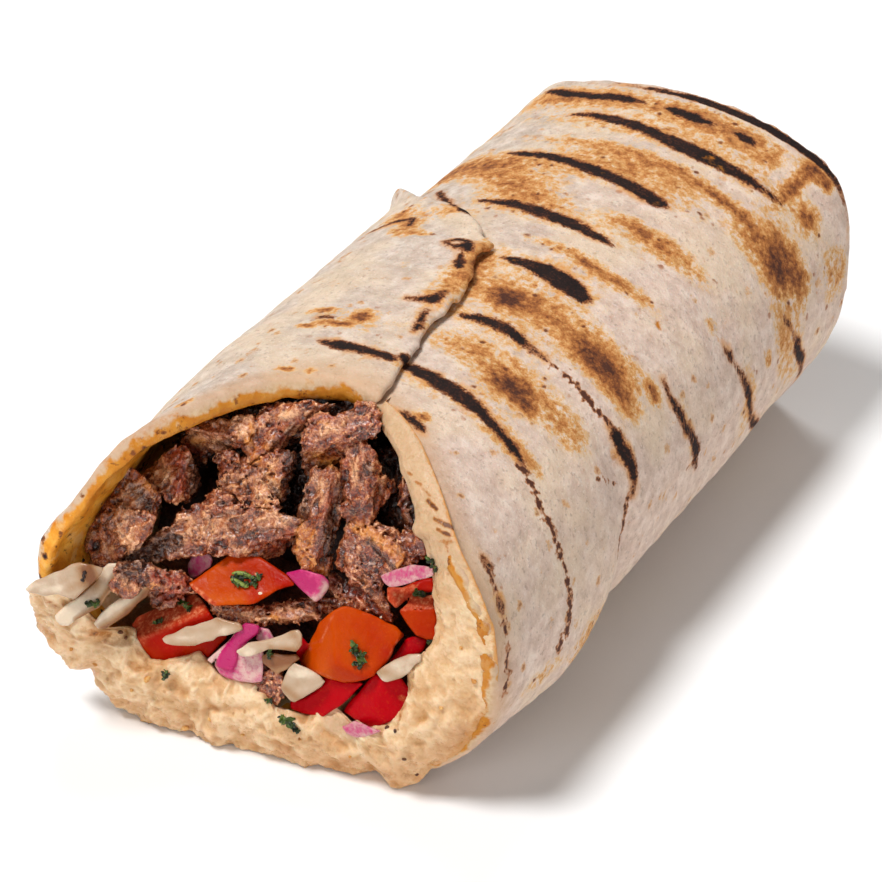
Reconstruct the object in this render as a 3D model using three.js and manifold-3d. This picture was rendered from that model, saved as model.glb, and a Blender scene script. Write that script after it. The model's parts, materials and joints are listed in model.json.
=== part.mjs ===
// A saj wrap: a thin griddle bread rolled round beef strips, diced tomato, onion, cabbage and
// hummus, open at one end and folded shut at the other.
// Millimetres, +Z up. The roll lies along Y with its mouth at -Y, rests on z = 0, and its
// origin is the middle of its underside.
import * as THREE from "three";
import { mergeVertices } from "three/addons/utils/BufferGeometryUtils.js";
import Module from "manifold-3d";

const wasm = await Module();
wasm.setup();

// Driving dimensions of the roll
const MOUTH_END = -75;
const TAIL_END = 75;
const MOUTH_HALF_WIDTH = 37.4;
const MOUTH_HALF_HEIGHT = 28.6;
const TAIL_HALF_WIDTH = 36;
const TAIL_HALF_HEIGHT = 27;
const TAIL_DISH = 2; // how deep the folded end is dished
const SQUARENESS = 2.25; // exponent of the section's superellipse
const PRESSED = 0.05; // share of the half height pressed flat underneath
const MOUTH_LIFT = 2.5; // the lower lip stands clear of the table by this much
const SHEET = 1.7; // one layer of bread, which is also the step at the flap's edge
const WALL = 3.2; // the bread's wall, about two layers
const INSIDE_END = 60; // the hollow ends here; the folded end fills the rest
const FILLING_END = 45; // how far the fillings run
const GAP = 0.3; // clearance between neighbours
const HUMMUS_LIP = 2.5; // how far the hummus stands out past the bread's lower lip
const SLOPE_UP = 0.49; // how much the mouth's plane leans back for each unit up
const SLOPE_ACROSS = 0.13; // and for each unit to the right

// Mesh densities
const AROUND = 37; // steps round the bread
const ALONG = 19; // steps along the outside of the bread
const INSIDE_STEPS = [0.04, 0.09, 0.16, 0.35, 0.6, 0.87]; // shares of the way from the mouth
const HUMMUS_AROUND = 18;
const CORE_AROUND = 22;

const { clamp, degToRad, euclideanModulo, lerp, smoothstep } = THREE.MathUtils;
const bell = (value, centre, spread) => Math.exp(-(((value - centre) / spread) ** 2));
const turnFrom = (angle, centre) => euclideanModulo(angle - centre + 180, 360) - 180;
const ringBell = (angle, centre, spread) => bell(turnFrom(angle, centre), 0, spread);
const steps = (count) => Array.from({ length: count + 1 }, (_, i) => i / count);

// ---- The roll's form. Angles are degrees round the axis: 0 is +X, 90 is the top. ----

// The mouth is cut at a slant: its top is set back, and its left and lower lips stand forward.
function mouthEdge(angle) {
  const slant = 6 * Math.cos(degToRad(angle)) - 2 * Math.cos(degToRad(2 * angle));
  return -66 + slant + 25 * ringBell(angle, 92, 40);
}

// Where the hummus swells over the bread's rim: all round but the top and the upper sides.
function lipShare(angle) {
  const turned = euclideanModulo(angle - 90, 360) + 90;
  return smoothstep(turned, 178, 205) - smoothstep(turned, 372, 405);
}

function breadRim(angle) {
  return mouthEdge(angle) + HUMMUS_LIP * lipShare(angle);
}

// The folded end is square on top and rounds off low on the right.
function tailEdge(angle) {
  return TAIL_END - 9 * ringBell(angle, -30, 38);
}

// The flap's free edge runs along the top and sweeps down the left side behind its corner.
function flapEdge(y) {
  return 92 + 0.2 * y + 1.5 * Math.max(0, y - 9);
}

function floorHeight(y) {
  return MOUTH_LIFT * (1 - smoothstep(y, -68, -48));
}

// The roll is pinched in at the mouth's upper left.
function pinch(y, angle) {
  return 4 * ringBell(angle, 150, 35) * bell(y, MOUTH_END, 25);
}

// The outside swells into a belly low on the right behind the mouth, with a crease behind it.
function outsideSwell(y, angle) {
  const belly = 2.4 * ringBell(angle, -25, 30) * bell(y, -34, 14);
  const crease = 1.3 * ringBell(angle, 5, 32) * bell(y, -15, 3.5);
  return belly - crease;
}

const signedPower = (value, power) => Math.sign(value) * Math.abs(value) ** power;

// A point of the roll at a depth below its base surface. The rise lifts it without moving
// the resting plane.
function rollPoint(y, angle, depth, rise = 0) {
  const along = (y - MOUTH_END) / (TAIL_END - MOUTH_END);
  const halfHeight = lerp(MOUTH_HALF_HEIGHT, TAIL_HALF_HEIGHT, along);
  const halfWidth = lerp(MOUTH_HALF_WIDTH, TAIL_HALF_WIDTH, along);
  const drawnIn = depth + pinch(y, angle) - rise;
  const power = 2 / SQUARENESS;
  const x = (halfWidth - drawnIn) * signedPower(Math.cos(degToRad(angle)), power);
  const height = (halfHeight - drawnIn) * signedPower(Math.sin(degToRad(angle)), power);
  const z = halfHeight * (1 - PRESSED) + height;
  return new THREE.Vector3(x, y, Math.max(z, floorHeight(y) + depth));
}

// ---- Solids ----

function volumeOf(geometry) {
  const position = geometry.attributes.position;
  const corner = (i) => new THREE.Vector3().fromBufferAttribute(position, geometry.index.getX(i));
  let volume = 0;
  for (let i = 0; i < geometry.index.count; i += 3) {
    volume += corner(i).dot(corner(i + 1).cross(corner(i + 2))) / 6;
  }
  return volume;
}

function geometryFrom(points, triangles) {
  const geometry = new THREE.BufferGeometry().setFromPoints(points);
  geometry.setIndex(triangles);
  if (volumeOf(geometry) < 0) {
    geometry.setIndex(triangles.reverse());
  }
  return geometry;
}

// A closed skin over rings of equal length, with a fan to a pole at each end.
function loft(rings, firstPole, lastPole) {
  const count = rings[0].length;
  const points = [...rings.flat(), firstPole, lastPole];
  const first = points.length - 2;
  const last = points.length - 1;
  const triangles = [];
  for (let i = 0; i < count; i += 1) {
    const next = (i + 1) % count;
    triangles.push(first, next, i);
    for (let row = 0; row + 1 < rings.length; row += 1) {
      const here = row * count;
      const ahead = here + count;
      triangles.push(here + i, here + next, ahead + i, here + next, ahead + next, ahead + i);
    }
    const end = (rings.length - 1) * count;
    triangles.push(last, end + i, end + next);
  }
  return geometryFrom(points, triangles);
}

// A closed slab between an upper and a lower grid of the same size.
function slab(upper, lower) {
  const rows = upper.length;
  const columns = upper[0].length;
  const points = [...upper.flat(), ...lower.flat()];
  const top = (row, column) => row * columns + column;
  const under = (row, column) => rows * columns + top(row, column);
  const triangles = [];
  const quad = (a, b, c, d) => triangles.push(a, b, c, a, c, d);
  for (let row = 0; row + 1 < rows; row += 1) {
    for (let column = 0; column + 1 < columns; column += 1) {
      const corners = [[row, column], [row + 1, column], [row + 1, column + 1], [row, column + 1]];
      quad(...corners.map(([r, c]) => top(r, c)));
      quad(...corners.map(([r, c]) => under(r, c)).reverse());
    }
    quad(top(row + 1, 0), top(row, 0), under(row, 0), under(row + 1, 0));
    const end = columns - 1;
    quad(top(row, end), top(row + 1, end), under(row + 1, end), under(row, end));
  }
  for (let column = 0; column + 1 < columns; column += 1) {
    const end = rows - 1;
    quad(top(0, column), top(0, column + 1), under(0, column + 1), under(0, column));
    quad(top(end, column + 1), top(end, column), under(end, column), under(end, column + 1));
  }
  return geometryFrom(points, triangles);
}

function toSolid(geometry) {
  const bare = geometry.clone();
  bare.deleteAttribute("normal");
  bare.deleteAttribute("uv");
  const merged = mergeVertices(bare, 1e-4);
  const mesh = new wasm.Mesh({
    numProp: 3,
    vertProperties: Float32Array.from(merged.attributes.position.array),
    triVerts: Uint32Array.from(merged.index.array),
  });
  return new wasm.Manifold(mesh);
}

function toGeometry(solid) {
  const mesh = solid.getMesh();
  const geometry = new THREE.BufferGeometry();
  geometry.setAttribute("position", new THREE.BufferAttribute(mesh.vertProperties, 3));
  geometry.setIndex(new THREE.BufferAttribute(mesh.triVerts, 1));
  return geometry;
}

// What is left of a solid after its neighbours are cut away: its largest single body.
function carve(solid, neighbours) {
  const left = neighbours.reduce((body, neighbour) => body.subtract(neighbour), solid);
  return left.decompose().reduce((best, body) => (body.volume() > best.volume() ? body : best));
}

// ---- Bread ----

// One ring of the bread. The outside is a spiral: it is one sheet higher just behind the
// flap's edge than just before it.
function breadRing(along, depth, outside) {
  const topY = lerp(mouthEdge(90), TAIL_END, outside ? along : 0);
  const edge = flapEdge(topY);
  return steps(AROUND).map((turn) => {
    const angle = edge + 360 * turn;
    const y = lerp(breadRim(angle), tailEdge(angle), along);
    const rise = outside ? SHEET * (1 - turn) + outsideSwell(y, angle) : 0;
    return rollPoint(y, angle, depth, rise);
  });
}

// The folded end is a shallow dish with its sides tucked in under a flap from the top.
function tailFold(point) {
  const flapLine = TAIL_HALF_HEIGHT + 0.35 * Math.abs(point.x);
  const topFlap = SHEET * smoothstep(point.z - flapLine, -2, 2);
  const sideTuck = 0.5 * SHEET * smoothstep(Math.abs(point.x), 8, 14);
  return topFlap + sideTuck - 1.5 * SHEET;
}

function tailRings() {
  const edgeRing = breadRing(1, 0, true);
  const dished = new THREE.Vector3(0, TAIL_END - TAIL_DISH, TAIL_HALF_HEIGHT);
  const rounded = edgeRing.map((point) => point.clone().lerp(dished, 0.06).setY(point.y + 1));
  const folded = [0.82, 0.62, 0.42, 0.2].map((reach) =>
    edgeRing.map((point) => {
      const moved = dished.clone().lerp(point, reach);
      return moved.setY(moved.y + tailFold(moved));
    }),
  );
  return [rounded, ...folded];
}

const RIM_BEVEL = 1;

function flatbread(grow = 0) {
  const inside = WALL + grow;
  const rimRing = (depth, back) =>
    breadRing(0, depth, depth <= 0).map((point) => point.add(new THREE.Vector3(0, back - grow, 0)));
  const insideRings = INSIDE_STEPS.toReversed().map((along) => breadRing(along, inside, false));
  const outsideRings = steps(ALONG)
    .slice(1)
    .map((along) => breadRing(along, -grow, true));
  const rings = [
    ...insideRings,
    rimRing(inside, RIM_BEVEL),
    rimRing(WALL / 2, 0),
    rimRing(-grow, RIM_BEVEL),
    ...outsideRings,
    ...tailRings(),
  ];
  const innerPole = new THREE.Vector3(0, INSIDE_END - grow, TAIL_HALF_HEIGHT);
  const outerPole = new THREE.Vector3(0, TAIL_END - TAIL_DISH - 1.5 * SHEET, TAIL_HALF_HEIGHT);
  return loft(rings, innerPole, outerPole);
}

// ---- Hummus ----

const HUMMUS_FROM = 172;
const HUMMUS_TO = 440;

function hummusThickness(y, angle) {
  const share = clamp((angle - HUMMUS_FROM) / (HUMMUS_TO - HUMMUS_FROM), 0, 1);
  const layer = 1.2 + 2.3 * Math.sin(Math.PI * share);
  const apronShare = smoothstep(angle, 175, 205) - 0.75 * smoothstep(angle, 350, 395);
  const apron = 7.5 * apronShare * bell(y, mouthEdge(angle), 16);
  const lumps = 0.5 * Math.sin(angle * 0.21) * Math.sin(y * 0.33 + angle * 0.05);
  return layer + apron + lumps * Math.sin(Math.PI * share);
}

// The layer lines the underside and the right of the roll and swells over the lower lip.
function hummus(grow = 0) {
  const angles = steps(HUMMUS_AROUND).map((share) => lerp(HUMMUS_FROM, HUMMUS_TO, share));
  const layerDepth = WALL + 2 * GAP;
  const lipRow = (share, overhang, part) => ({
    y: (angle) => lerp(mouthEdge(angle) - 1 - grow, breadRim(angle) - 2 * GAP, share),
    depth: (angle) => lerp(layerDepth, -overhang, lipShare(angle)),
    part,
  });
  const layerRow = (share) => ({
    y: (angle) => lerp(breadRim(angle) - GAP, FILLING_END, share / INSIDE_STEPS.at(-1)),
    depth: () => layerDepth,
    part: 1,
  });
  const lip = [lipRow(0, -2, 0.7), lipRow(0.5, 0.6, 0.95), lipRow(1, 0.2, 1)];
  const rows = [...lip, ...[0, ...INSIDE_STEPS].map(layerRow)];
  const outerGrid = rows.map(({ y, depth }) =>
    angles.map((angle) => rollPoint(y(angle), angle, depth(angle))),
  );
  const innerGrid = rows.map(({ y, part }) =>
    angles.map((angle) => {
      const depth = layerDepth + part * hummusThickness(y(angle), angle) + grow;
      return rollPoint(y(angle), angle, depth);
    }),
  );
  return slab(outerGrid, innerGrid);
}

// ---- Fillings ----

// The mouth's own frame: x across, y up the slanted opening, z out of it.
const MOUTH_CENTRE = new THREE.Vector3(0, -54.8, 28);
const MOUTH_OUT = new THREE.Vector3(SLOPE_ACROSS, -1, SLOPE_UP).normalize();
const MOUTH_ACROSS = new THREE.Vector3(1, SLOPE_ACROSS, 0).normalize();
const MOUTH_UP = new THREE.Vector3().crossVectors(MOUTH_OUT, MOUTH_ACROSS);
const MOUTH_FRAME = new THREE.Matrix4()
  .makeBasis(MOUTH_ACROSS, MOUTH_UP, MOUTH_OUT)
  .setPosition(MOUTH_CENTRE);

// How far behind the mouth's plane the run of the fillings begins.
const CORE_SET_BACK = 12.5;
const CORE_SPLIT = 24;

function coreFront(point) {
  const rise = point.z - MOUTH_CENTRE.z;
  return MOUTH_CENTRE.y + CORE_SET_BACK + SLOPE_UP * rise + SLOPE_ACROSS * point.x;
}

// A filling that runs the length of the roll between two heights.
function core(lowest, highest) {
  const ring = (share, shrink) =>
    steps(CORE_AROUND).slice(1).map((turn) => {
      const angle = 360 * turn;
      const lined = angle < HUMMUS_FROM ? angle + 360 : angle;
      const probe = rollPoint(0, angle, WALL);
      const y = lerp(coreFront(probe), FILLING_END, share);
      const point = rollPoint(y, angle, WALL + 4 * GAP + hummusThickness(y, lined) + shrink);
      point.z = clamp(point.z, lowest, highest);
      return point;
    });
  const middle = (lowest + highest) / 2;
  const frontPole = new THREE.Vector3(0, coreFront({ x: 0, z: middle }), middle);
  const backPole = new THREE.Vector3(0, FILLING_END, middle);
  return loft([ring(0, 1), ring(0.1, 0), ring(0.4, 0), ring(0.7, 0), ring(1, 0)], frontPole, backPole);
}

function reshape(geometry, move) {
  const position = geometry.attributes.position;
  for (let i = 0; i < position.count; i += 1) {
    const point = new THREE.Vector3().fromBufferAttribute(position, i);
    move(point);
    position.setXYZ(i, point.x, point.y, point.z);
  }
  return geometry;
}

// A torn, squarish strip of meat, lumpy along its length.
function beef([length, width, thick], seed) {
  const squarish = (value) => signedPower(value, 0.72);
  return reshape(new THREE.SphereGeometry(1, 8, 6), (point) => {
    const wave = Math.sin(3.1 * point.x + 1.7 * seed) + Math.sin(4.3 * point.y + 2.3 * seed + point.x);
    const swell = 1 + 0.09 * wave;
    const narrow = 1 - 0.18 * point.x * Math.sin(seed);
    point.set(
      (squarish(point.x) * length) / 2,
      (squarish(point.y) * swell * narrow * width) / 2,
      (squarish(point.z) * thick) / 2,
    );
    point.y += 0.08 * width * Math.sin((4 * point.x) / length + seed);
  });
}

// A cut cube of tomato with softened edges, a little out of square.
function tomato([length, width, thick], seed) {
  return reshape(new THREE.BoxGeometry(2, 2, 2, 2, 2, 2), (point) => {
    const round = 1 - 0.045 * point.clone().multiply(point).dot(new THREE.Vector3(1, 1, 1));
    const lean = 0.08 * Math.sin(2.1 * seed);
    point.set(
      (point.x * round * length * (1 + lean * point.y)) / 1.8,
      (point.y * round * width * (1 - lean * point.x)) / 1.8,
      (point.z * round * thick) / 1.8,
    );
  });
}

// A curved shaving of cabbage or onion, narrowing towards both ends.
function shaving([length, width, thick], seed, bow) {
  return reshape(new THREE.BoxGeometry(2, 2, 2, 6, 2, 1), (point) => {
    const taper = 1 - 0.38 * point.x ** 2 - 0.1 * point.x * Math.sin(seed);
    const side = (point.y * taper * width) / 2;
    point.set(
      (point.x * length) / 2,
      side + 0.1 * width * Math.sin(1.5 * point.x + seed),
      (point.z * thick) / 2 + bow * (1 - point.x ** 2) - (0.6 * bow * side ** 2) / width ** 2,
    );
  });
}

const cabbage = (size, seed) => shaving(size, seed, 0.9);
const onion = (size, seed) => shaving(size, seed, 1.6);

// Every piece that shows at the mouth, the foremost first. A place is across, up and out from
// the middle of the mouth; a size is length, width and thickness; the turn is in the mouth's
// plane, the tilt about the turned length, the pitch sends its far end in, and the spin is
// about its own face.
const PIECES = [
  { name: "tomato_dice_1", make: tomato, at: [-8, -0.5, 2], size: [14, 8, 4], turn: 13, tilt: -58, spin: 30 },
  { name: "cabbage_strip_1", make: cabbage, at: [-33, -5.5, 12], size: [13, 6, 2], turn: 22, tilt: -25, pitch: 8 },
  { name: "cabbage_strip_2", make: cabbage, at: [-30, -8, 9], size: [15, 5, 2], turn: 46, tilt: -20, pitch: 5 },
  { name: "cabbage_strip_4", make: cabbage, at: [-13, -9, 4], size: [15, 5, 2], turn: 24, tilt: -15 },
  { name: "cabbage_strip_5", make: cabbage, at: [0, -9, 4], size: [13, 5, 2], turn: 20, tilt: -10 },
  { name: "cabbage_strip_6", make: cabbage, at: [5, -14, 3], size: [9, 6, 2], turn: 24, tilt: -10 },
  { name: "cabbage_strip_7", make: cabbage, at: [20, -7, 4], size: [10, 4, 2], turn: 30, tilt: -10 },
  { name: "tomato_dice_2", make: tomato, at: [12, -6.5, 0], size: [14, 11, 9], turn: 10, tilt: -28, spin: 12 },
  { name: "onion_piece_1", make: onion, at: [19, 7, 3], size: [10, 3.5, 2.5], turn: 20, tilt: -10 },
  { name: "beef_strip_1", make: beef, at: [-29, 5, 4], size: [16, 12, 6], turn: 74, tilt: 10 },
  { name: "beef_strip_2", make: beef, at: [-15, 5, -1], size: [29, 9, 7], turn: 20, tilt: -10 },
  { name: "beef_strip_3", make: beef, at: [3, 12, -1], size: [20, 7.5, 7], turn: 88, pitch: 8 },
  { name: "onion_piece_2", make: onion, at: [-6, -11, 2], size: [13, 9, 4], turn: 62, tilt: 5 },
  { name: "onion_piece_3", make: onion, at: [3, 2, 1], size: [7, 5, 2.5], turn: -14, tilt: -10 },
  { name: "cabbage_strip_3", make: cabbage, at: [-27.5, -10, 6], size: [14, 4, 2], turn: 43, tilt: -20 },
  { name: "tomato_dice_3", make: tomato, at: [18, -14, -1], size: [11, 9, 8], turn: 18, tilt: -15 },
  { name: "beef_strip_4", make: beef, at: [-5, 24, -4], size: [18, 7, 7], turn: 33 },
  { name: "beef_strip_5", make: beef, at: [-8, 15, -3], size: [17, 9, 7], turn: -6 },
  { name: "beef_strip_6", make: beef, at: [4, 25, -2], size: [13, 8, 7], turn: 31 },
  { name: "beef_strip_7", make: beef, at: [8, 18, -3], size: [13, 8, 7], turn: -69 },
  { name: "beef_strip_8", make: beef, at: [13, 7, -2], size: [17, 11, 7], turn: -55 },
  { name: "tomato_dice_4", make: tomato, at: [-17, -10, -2], size: [15, 10, 8], turn: 18, tilt: -25 },
  { name: "beef_strip_9", make: beef, at: [-4, -4, 0], size: [23, 5, 5], turn: 14 },
  { name: "tomato_dice_5", make: tomato, at: [8, -16, -1], size: [11, 6, 7], turn: 20, tilt: -10 },
  { name: "onion_piece_4", make: onion, at: [15, -19, 0], size: [9, 3, 2.5], turn: 17 },
  { name: "beef_strip_10", make: beef, at: [-24, 11, -5], size: [10, 7.5, 7], turn: 10 },
  { name: "beef_strip_11", make: beef, at: [-17, 19, -6], size: [13, 5, 6], turn: 20 },
  { name: "tomato_dice_6", make: tomato, at: [21, 1, -3], size: [8, 8, 7], turn: 20, tilt: -20 },
  { name: "beef_strip_12", make: beef, at: [16, 16, -7], size: [13, 5, 6], turn: -65 },
  { name: "beef_strip_13", make: beef, at: [-23, -4, -3], size: [13, 5.5, 6], turn: 8 },
  { name: "tomato_dice_7", make: tomato, at: [20, -6, -3], size: [8, 5, 6], turn: 20 },
  { name: "onion_piece_5", make: onion, at: [-17, -1, -3], size: [6, 4, 3], turn: 60 },
];

function placedPiece({ make, at, size, turn = 0, tilt = 0, pitch = 0, spin = 0 }, seed, grow) {
  const geometry = make(size.map((value) => value + 2 * grow), seed);
  const axis = (x, y, z) => new THREE.Vector3(x, y, z);
  const turned = (direction, degrees) => new THREE.Matrix4().makeRotationAxis(direction, degToRad(degrees));
  const place = MOUTH_FRAME.clone()
    .multiply(new THREE.Matrix4().setPosition(axis(...at)))
    .multiply(turned(axis(0, 0, 1), turn))
    .multiply(turned(axis(1, 0, 0), tilt))
    .multiply(turned(axis(0, 1, 0), pitch))
    .multiply(turned(axis(0, 0, 1), spin));
  return geometry.applyMatrix4(place);
}

// ---- Assembly: each piece gives way, with a gap, to the bread and to the pieces before it. ----

const COLOURS = {
  flatbread: [0xe3d0b8, 0.85],
  hummus: [0xe8c796, 0.6],
  beef: [0x7a4a33, 0.6],
  tomato: [0xd8451c, 0.35],
  onion: [0xd68fb0, 0.4],
  cabbage: [0xe6dcc4, 0.45],
  salad: [0xb98a58, 0.6],
};

const wrap = new THREE.Group();

function addNode(name, geometry, kind) {
  const [color, roughness] = COLOURS[kind];
  const material = new THREE.MeshStandardMaterial({ color, roughness, metalness: 0 });
  const mesh = new THREE.Mesh(geometry, material);
  mesh.name = name;
  wrap.add(mesh);
}

addNode("flatbread", flatbread(), "flatbread");
const breadKeepOut = toSolid(flatbread(GAP));
const keepOuts = [];
PIECES.forEach((piece, index) => {
  const solid = toSolid(placedPiece(piece, index + 1, 0));
  addNode(piece.name, toGeometry(carve(solid, [breadKeepOut, ...keepOuts])), piece.name.split("_")[0]);
  keepOuts.push(toSolid(placedPiece(piece, index + 1, GAP)));
});
addNode("hummus", toGeometry(carve(toSolid(hummus()), keepOuts)), "hummus");
const fillingKeepOuts = [...keepOuts, toSolid(hummus(GAP))];
const beefCore = toSolid(core(CORE_SPLIT + GAP, 2 * MOUTH_HALF_HEIGHT));
addNode("beef_filling", toGeometry(carve(beefCore, fillingKeepOuts)), "beef");
const saladCore = toSolid(core(0, CORE_SPLIT));
addNode("salad_filling", toGeometry(carve(saladCore, fillingKeepOuts)), "salad");

// The origin is the middle of the underside.
const box = new THREE.Box3().setFromObject(wrap);
const centre = box.getCenter(new THREE.Vector3());
wrap.position.set(-centre.x, -centre.y, -box.min.z);

export default wrap;
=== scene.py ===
"""The looks of a saj wrap: griddled flatbread rolled round beef, tomato, onion, cabbage and hummus.

Shapes are worked out in millimetres in the roll's own frame, where the roll lies along Y with
its mouth at -Y, and are scaled to metres as they become meshes. Angles round the roll are
degrees: 0 is +X, 90 is the top and 180 is -X.
"""

import json

import bpy
import numpy as np
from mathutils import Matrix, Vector
from mathutils.bvhtree import BVHTree

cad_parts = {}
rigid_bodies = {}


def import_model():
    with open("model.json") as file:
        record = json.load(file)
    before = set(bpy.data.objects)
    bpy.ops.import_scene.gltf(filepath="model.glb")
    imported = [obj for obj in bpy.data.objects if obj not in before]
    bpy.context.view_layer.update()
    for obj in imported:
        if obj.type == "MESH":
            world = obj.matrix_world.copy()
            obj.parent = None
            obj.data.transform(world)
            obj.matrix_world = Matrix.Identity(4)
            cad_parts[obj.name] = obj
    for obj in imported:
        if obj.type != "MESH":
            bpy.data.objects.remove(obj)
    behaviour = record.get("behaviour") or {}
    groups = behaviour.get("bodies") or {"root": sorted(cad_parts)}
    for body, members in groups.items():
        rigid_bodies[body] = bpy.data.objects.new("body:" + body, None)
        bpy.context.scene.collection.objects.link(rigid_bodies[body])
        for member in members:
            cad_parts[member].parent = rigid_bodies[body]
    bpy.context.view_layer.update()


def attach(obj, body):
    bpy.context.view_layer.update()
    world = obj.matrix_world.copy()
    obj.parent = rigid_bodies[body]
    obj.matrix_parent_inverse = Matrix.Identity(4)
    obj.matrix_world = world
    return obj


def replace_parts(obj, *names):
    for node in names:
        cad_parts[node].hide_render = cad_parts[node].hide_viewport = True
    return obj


MM = 0.001

# The roll's driving dimensions, the same as the CAD model's
MOUTH_END = -75.0
TAIL_END = 75.0
MOUTH_HALF_WIDTH, MOUTH_HALF_HEIGHT = 37.4, 28.6
TAIL_HALF_WIDTH, TAIL_HALF_HEIGHT = 36.0, 27.0
TAIL_DISH = 2.0
SQUARENESS = 2.25
PRESSED = 0.05
MOUTH_LIFT = 2.5
SHEET = 1.7
WALL = 3.2
INSIDE_END = 60.0
FILLING_END = 45.0
HUMMUS_LIP = 2.5
GAP = 0.3  # between one layer and the next
ROLL_ORIGIN = np.array([-0.328, 0.205, 0.0])

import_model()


# ---- Numbers ----


def bell(value, centre, spread):
    return np.exp(-(((value - centre) / spread) ** 2))


def ring_bell(angle, centre, spread):
    turned = np.mod(angle - centre + 180, 360) - 180
    return bell(turned, 0, spread)


def smooth(value, low, high):
    share = np.clip((value - low) / (high - low), 0, 1)
    return share * share * (3 - 2 * share)


def mix(a, b, share):
    return a + (b - a) * share


def signed_power(value, power):
    return np.sign(value) * np.abs(value) ** power


HASH_X, HASH_Y, HASH_Z, HASH_SEED = 374761393, 668265263, 1440662683, 1013904223
HASH_MIX = 1274126177
HASH_MASK = 0xFFFFFFFF


def lattice_random(cell, seed):
    """A fixed random number from 0 to 1 for each whole-numbered lattice cell."""
    spread = cell[..., 0] * HASH_X + cell[..., 1] * HASH_Y + cell[..., 2] * HASH_Z + seed * HASH_SEED
    spread = spread & HASH_MASK
    spread = ((spread ^ (spread >> 13)) * HASH_MIX) & HASH_MASK
    spread = ((spread ^ (spread >> 16)) * HASH_MIX) & HASH_MASK
    return ((spread ^ (spread >> 15)) & HASH_MASK) / HASH_MASK


def value_noise(points, seed):
    """Smooth noise from -1 to 1 with features one unit across."""
    cell = np.floor(points).astype(np.int64)
    inside = points - cell
    blend = inside * inside * inside * (inside * (inside * 6 - 15) + 10)
    total = np.zeros(points.shape[:-1])
    for corner in np.ndindex(2, 2, 2):
        weight = np.prod(np.where(np.array(corner) == 1, blend, 1 - blend), axis=-1)
        total += weight * lattice_random(cell + np.array(corner), seed)
    return total * 2 - 1


def noise(points, size, seed=0, octaves=3):
    """Fractal noise from about -1 to 1. The largest features are size across."""
    total = np.zeros(points.shape[:-1])
    strength = 1.0
    scale = np.asarray(size, float)
    for octave in range(octaves):
        total += strength * value_noise(points / scale, seed + 7 * octave)
        strength *= 0.5
        scale = scale * 0.5
    return total / (2 - 2 * strength)


def cells(points, size, seed=0):
    """Distance from the nearest of a scatter of points, one to a cell, in cell sizes."""
    scaled = points / np.asarray(size, float)
    cell = np.floor(scaled).astype(np.int64)
    nearest = np.full(points.shape[:-1], 9.0)
    for step in np.ndindex(3, 3, 3):
        neighbour = cell + np.array(step) - 1
        jitter = np.stack([lattice_random(neighbour, seed + axis) for axis in range(3)], -1)
        nearest = np.minimum(nearest, np.linalg.norm(neighbour + jitter - scaled, axis=-1))
    return nearest


def line_away(x, y, start, end):
    """How far places are from the line between two ends, and their share of the way along it."""
    step_x, step_y = end[0] - start[0], end[1] - start[1]
    length = max(step_x**2 + step_y**2, 1e-9)
    share = np.clip(((x - start[0]) * step_x + (y - start[1]) * step_y) / length, 0, 1)
    return np.hypot(x - start[0] - share * step_x, y - start[1] - share * step_y), share


# ---- The roll's form, the same as the CAD model's ----


def mouth_edge(angle):
    slant = 6 * np.cos(np.radians(angle)) - 2 * np.cos(np.radians(2 * angle))
    return -66 + slant + 25 * ring_bell(angle, 92, 40)


def lip_share(angle):
    turned = np.mod(angle - 90, 360) + 90
    return smooth(turned, 178, 205) - smooth(turned, 372, 405)


def bread_rim(angle):
    return mouth_edge(angle) + HUMMUS_LIP * lip_share(angle)


def tail_edge(angle):
    return TAIL_END - 9 * ring_bell(angle, -30, 38)


def flap_edge(y):
    return 92 + 0.2 * y + 1.5 * np.maximum(0, y - 9)


def floor_height(y):
    return MOUTH_LIFT * (1 - smooth(y, -68, -48))


def pinch(y, angle):
    return 4 * ring_bell(angle, 150, 35) * bell(y, MOUTH_END, 25)


def wall(angle):
    """The bread's wall, drawn thinner by the heat at the upper left of the mouth."""
    return WALL - 1.9 * ring_bell(angle, 142, 42)


def flare(y, angle):
    """How far the rim opens outwards on the left of the mouth."""
    opened = 2.2 * ring_bell(angle, 137, 17) + 1.5 * ring_bell(angle, 166, 12)
    drawn_in = 1.7 * ring_bell(angle, 197, 13)
    return (opened - drawn_in) * bell(y - bread_rim(angle), 0, 9)


def outside_swell(y, angle):
    belly = 2.4 * ring_bell(angle, -25, 30) * bell(y, -34, 14)
    crease = 1.3 * ring_bell(angle, 5, 32) * bell(y, -15, 3.5)
    shoulders = 1.9 * ring_bell(angle, 38, 17) + 1.3 * ring_bell(angle, 130, 11)
    return belly - crease + shoulders * smooth(y, TAIL_END - 15, TAIL_END)


def half_sizes(y):
    """Half the roll's width and half its height at places along it."""
    along = (y - MOUTH_END) / (TAIL_END - MOUTH_END)
    half_width = mix(MOUTH_HALF_WIDTH, TAIL_HALF_WIDTH, along)
    return half_width, mix(MOUTH_HALF_HEIGHT, TAIL_HALF_HEIGHT, along)


def roll_point(y, angle, level):
    """A point of the roll at a level above its base surface."""
    half_width, half_height = half_sizes(y)
    drawn_in = pinch(y, angle) - level
    power = 2 / SQUARENESS
    x = (half_width - drawn_in) * signed_power(np.cos(np.radians(angle)), power)
    height = (half_height - drawn_in) * signed_power(np.sin(np.radians(angle)), power)
    z = half_height * (1 - PRESSED) + height
    z = np.maximum(z, floor_height(y) - np.minimum(level, 0))
    return np.stack([x, y + np.zeros_like(x), z], -1) + ROLL_ORIGIN


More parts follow.
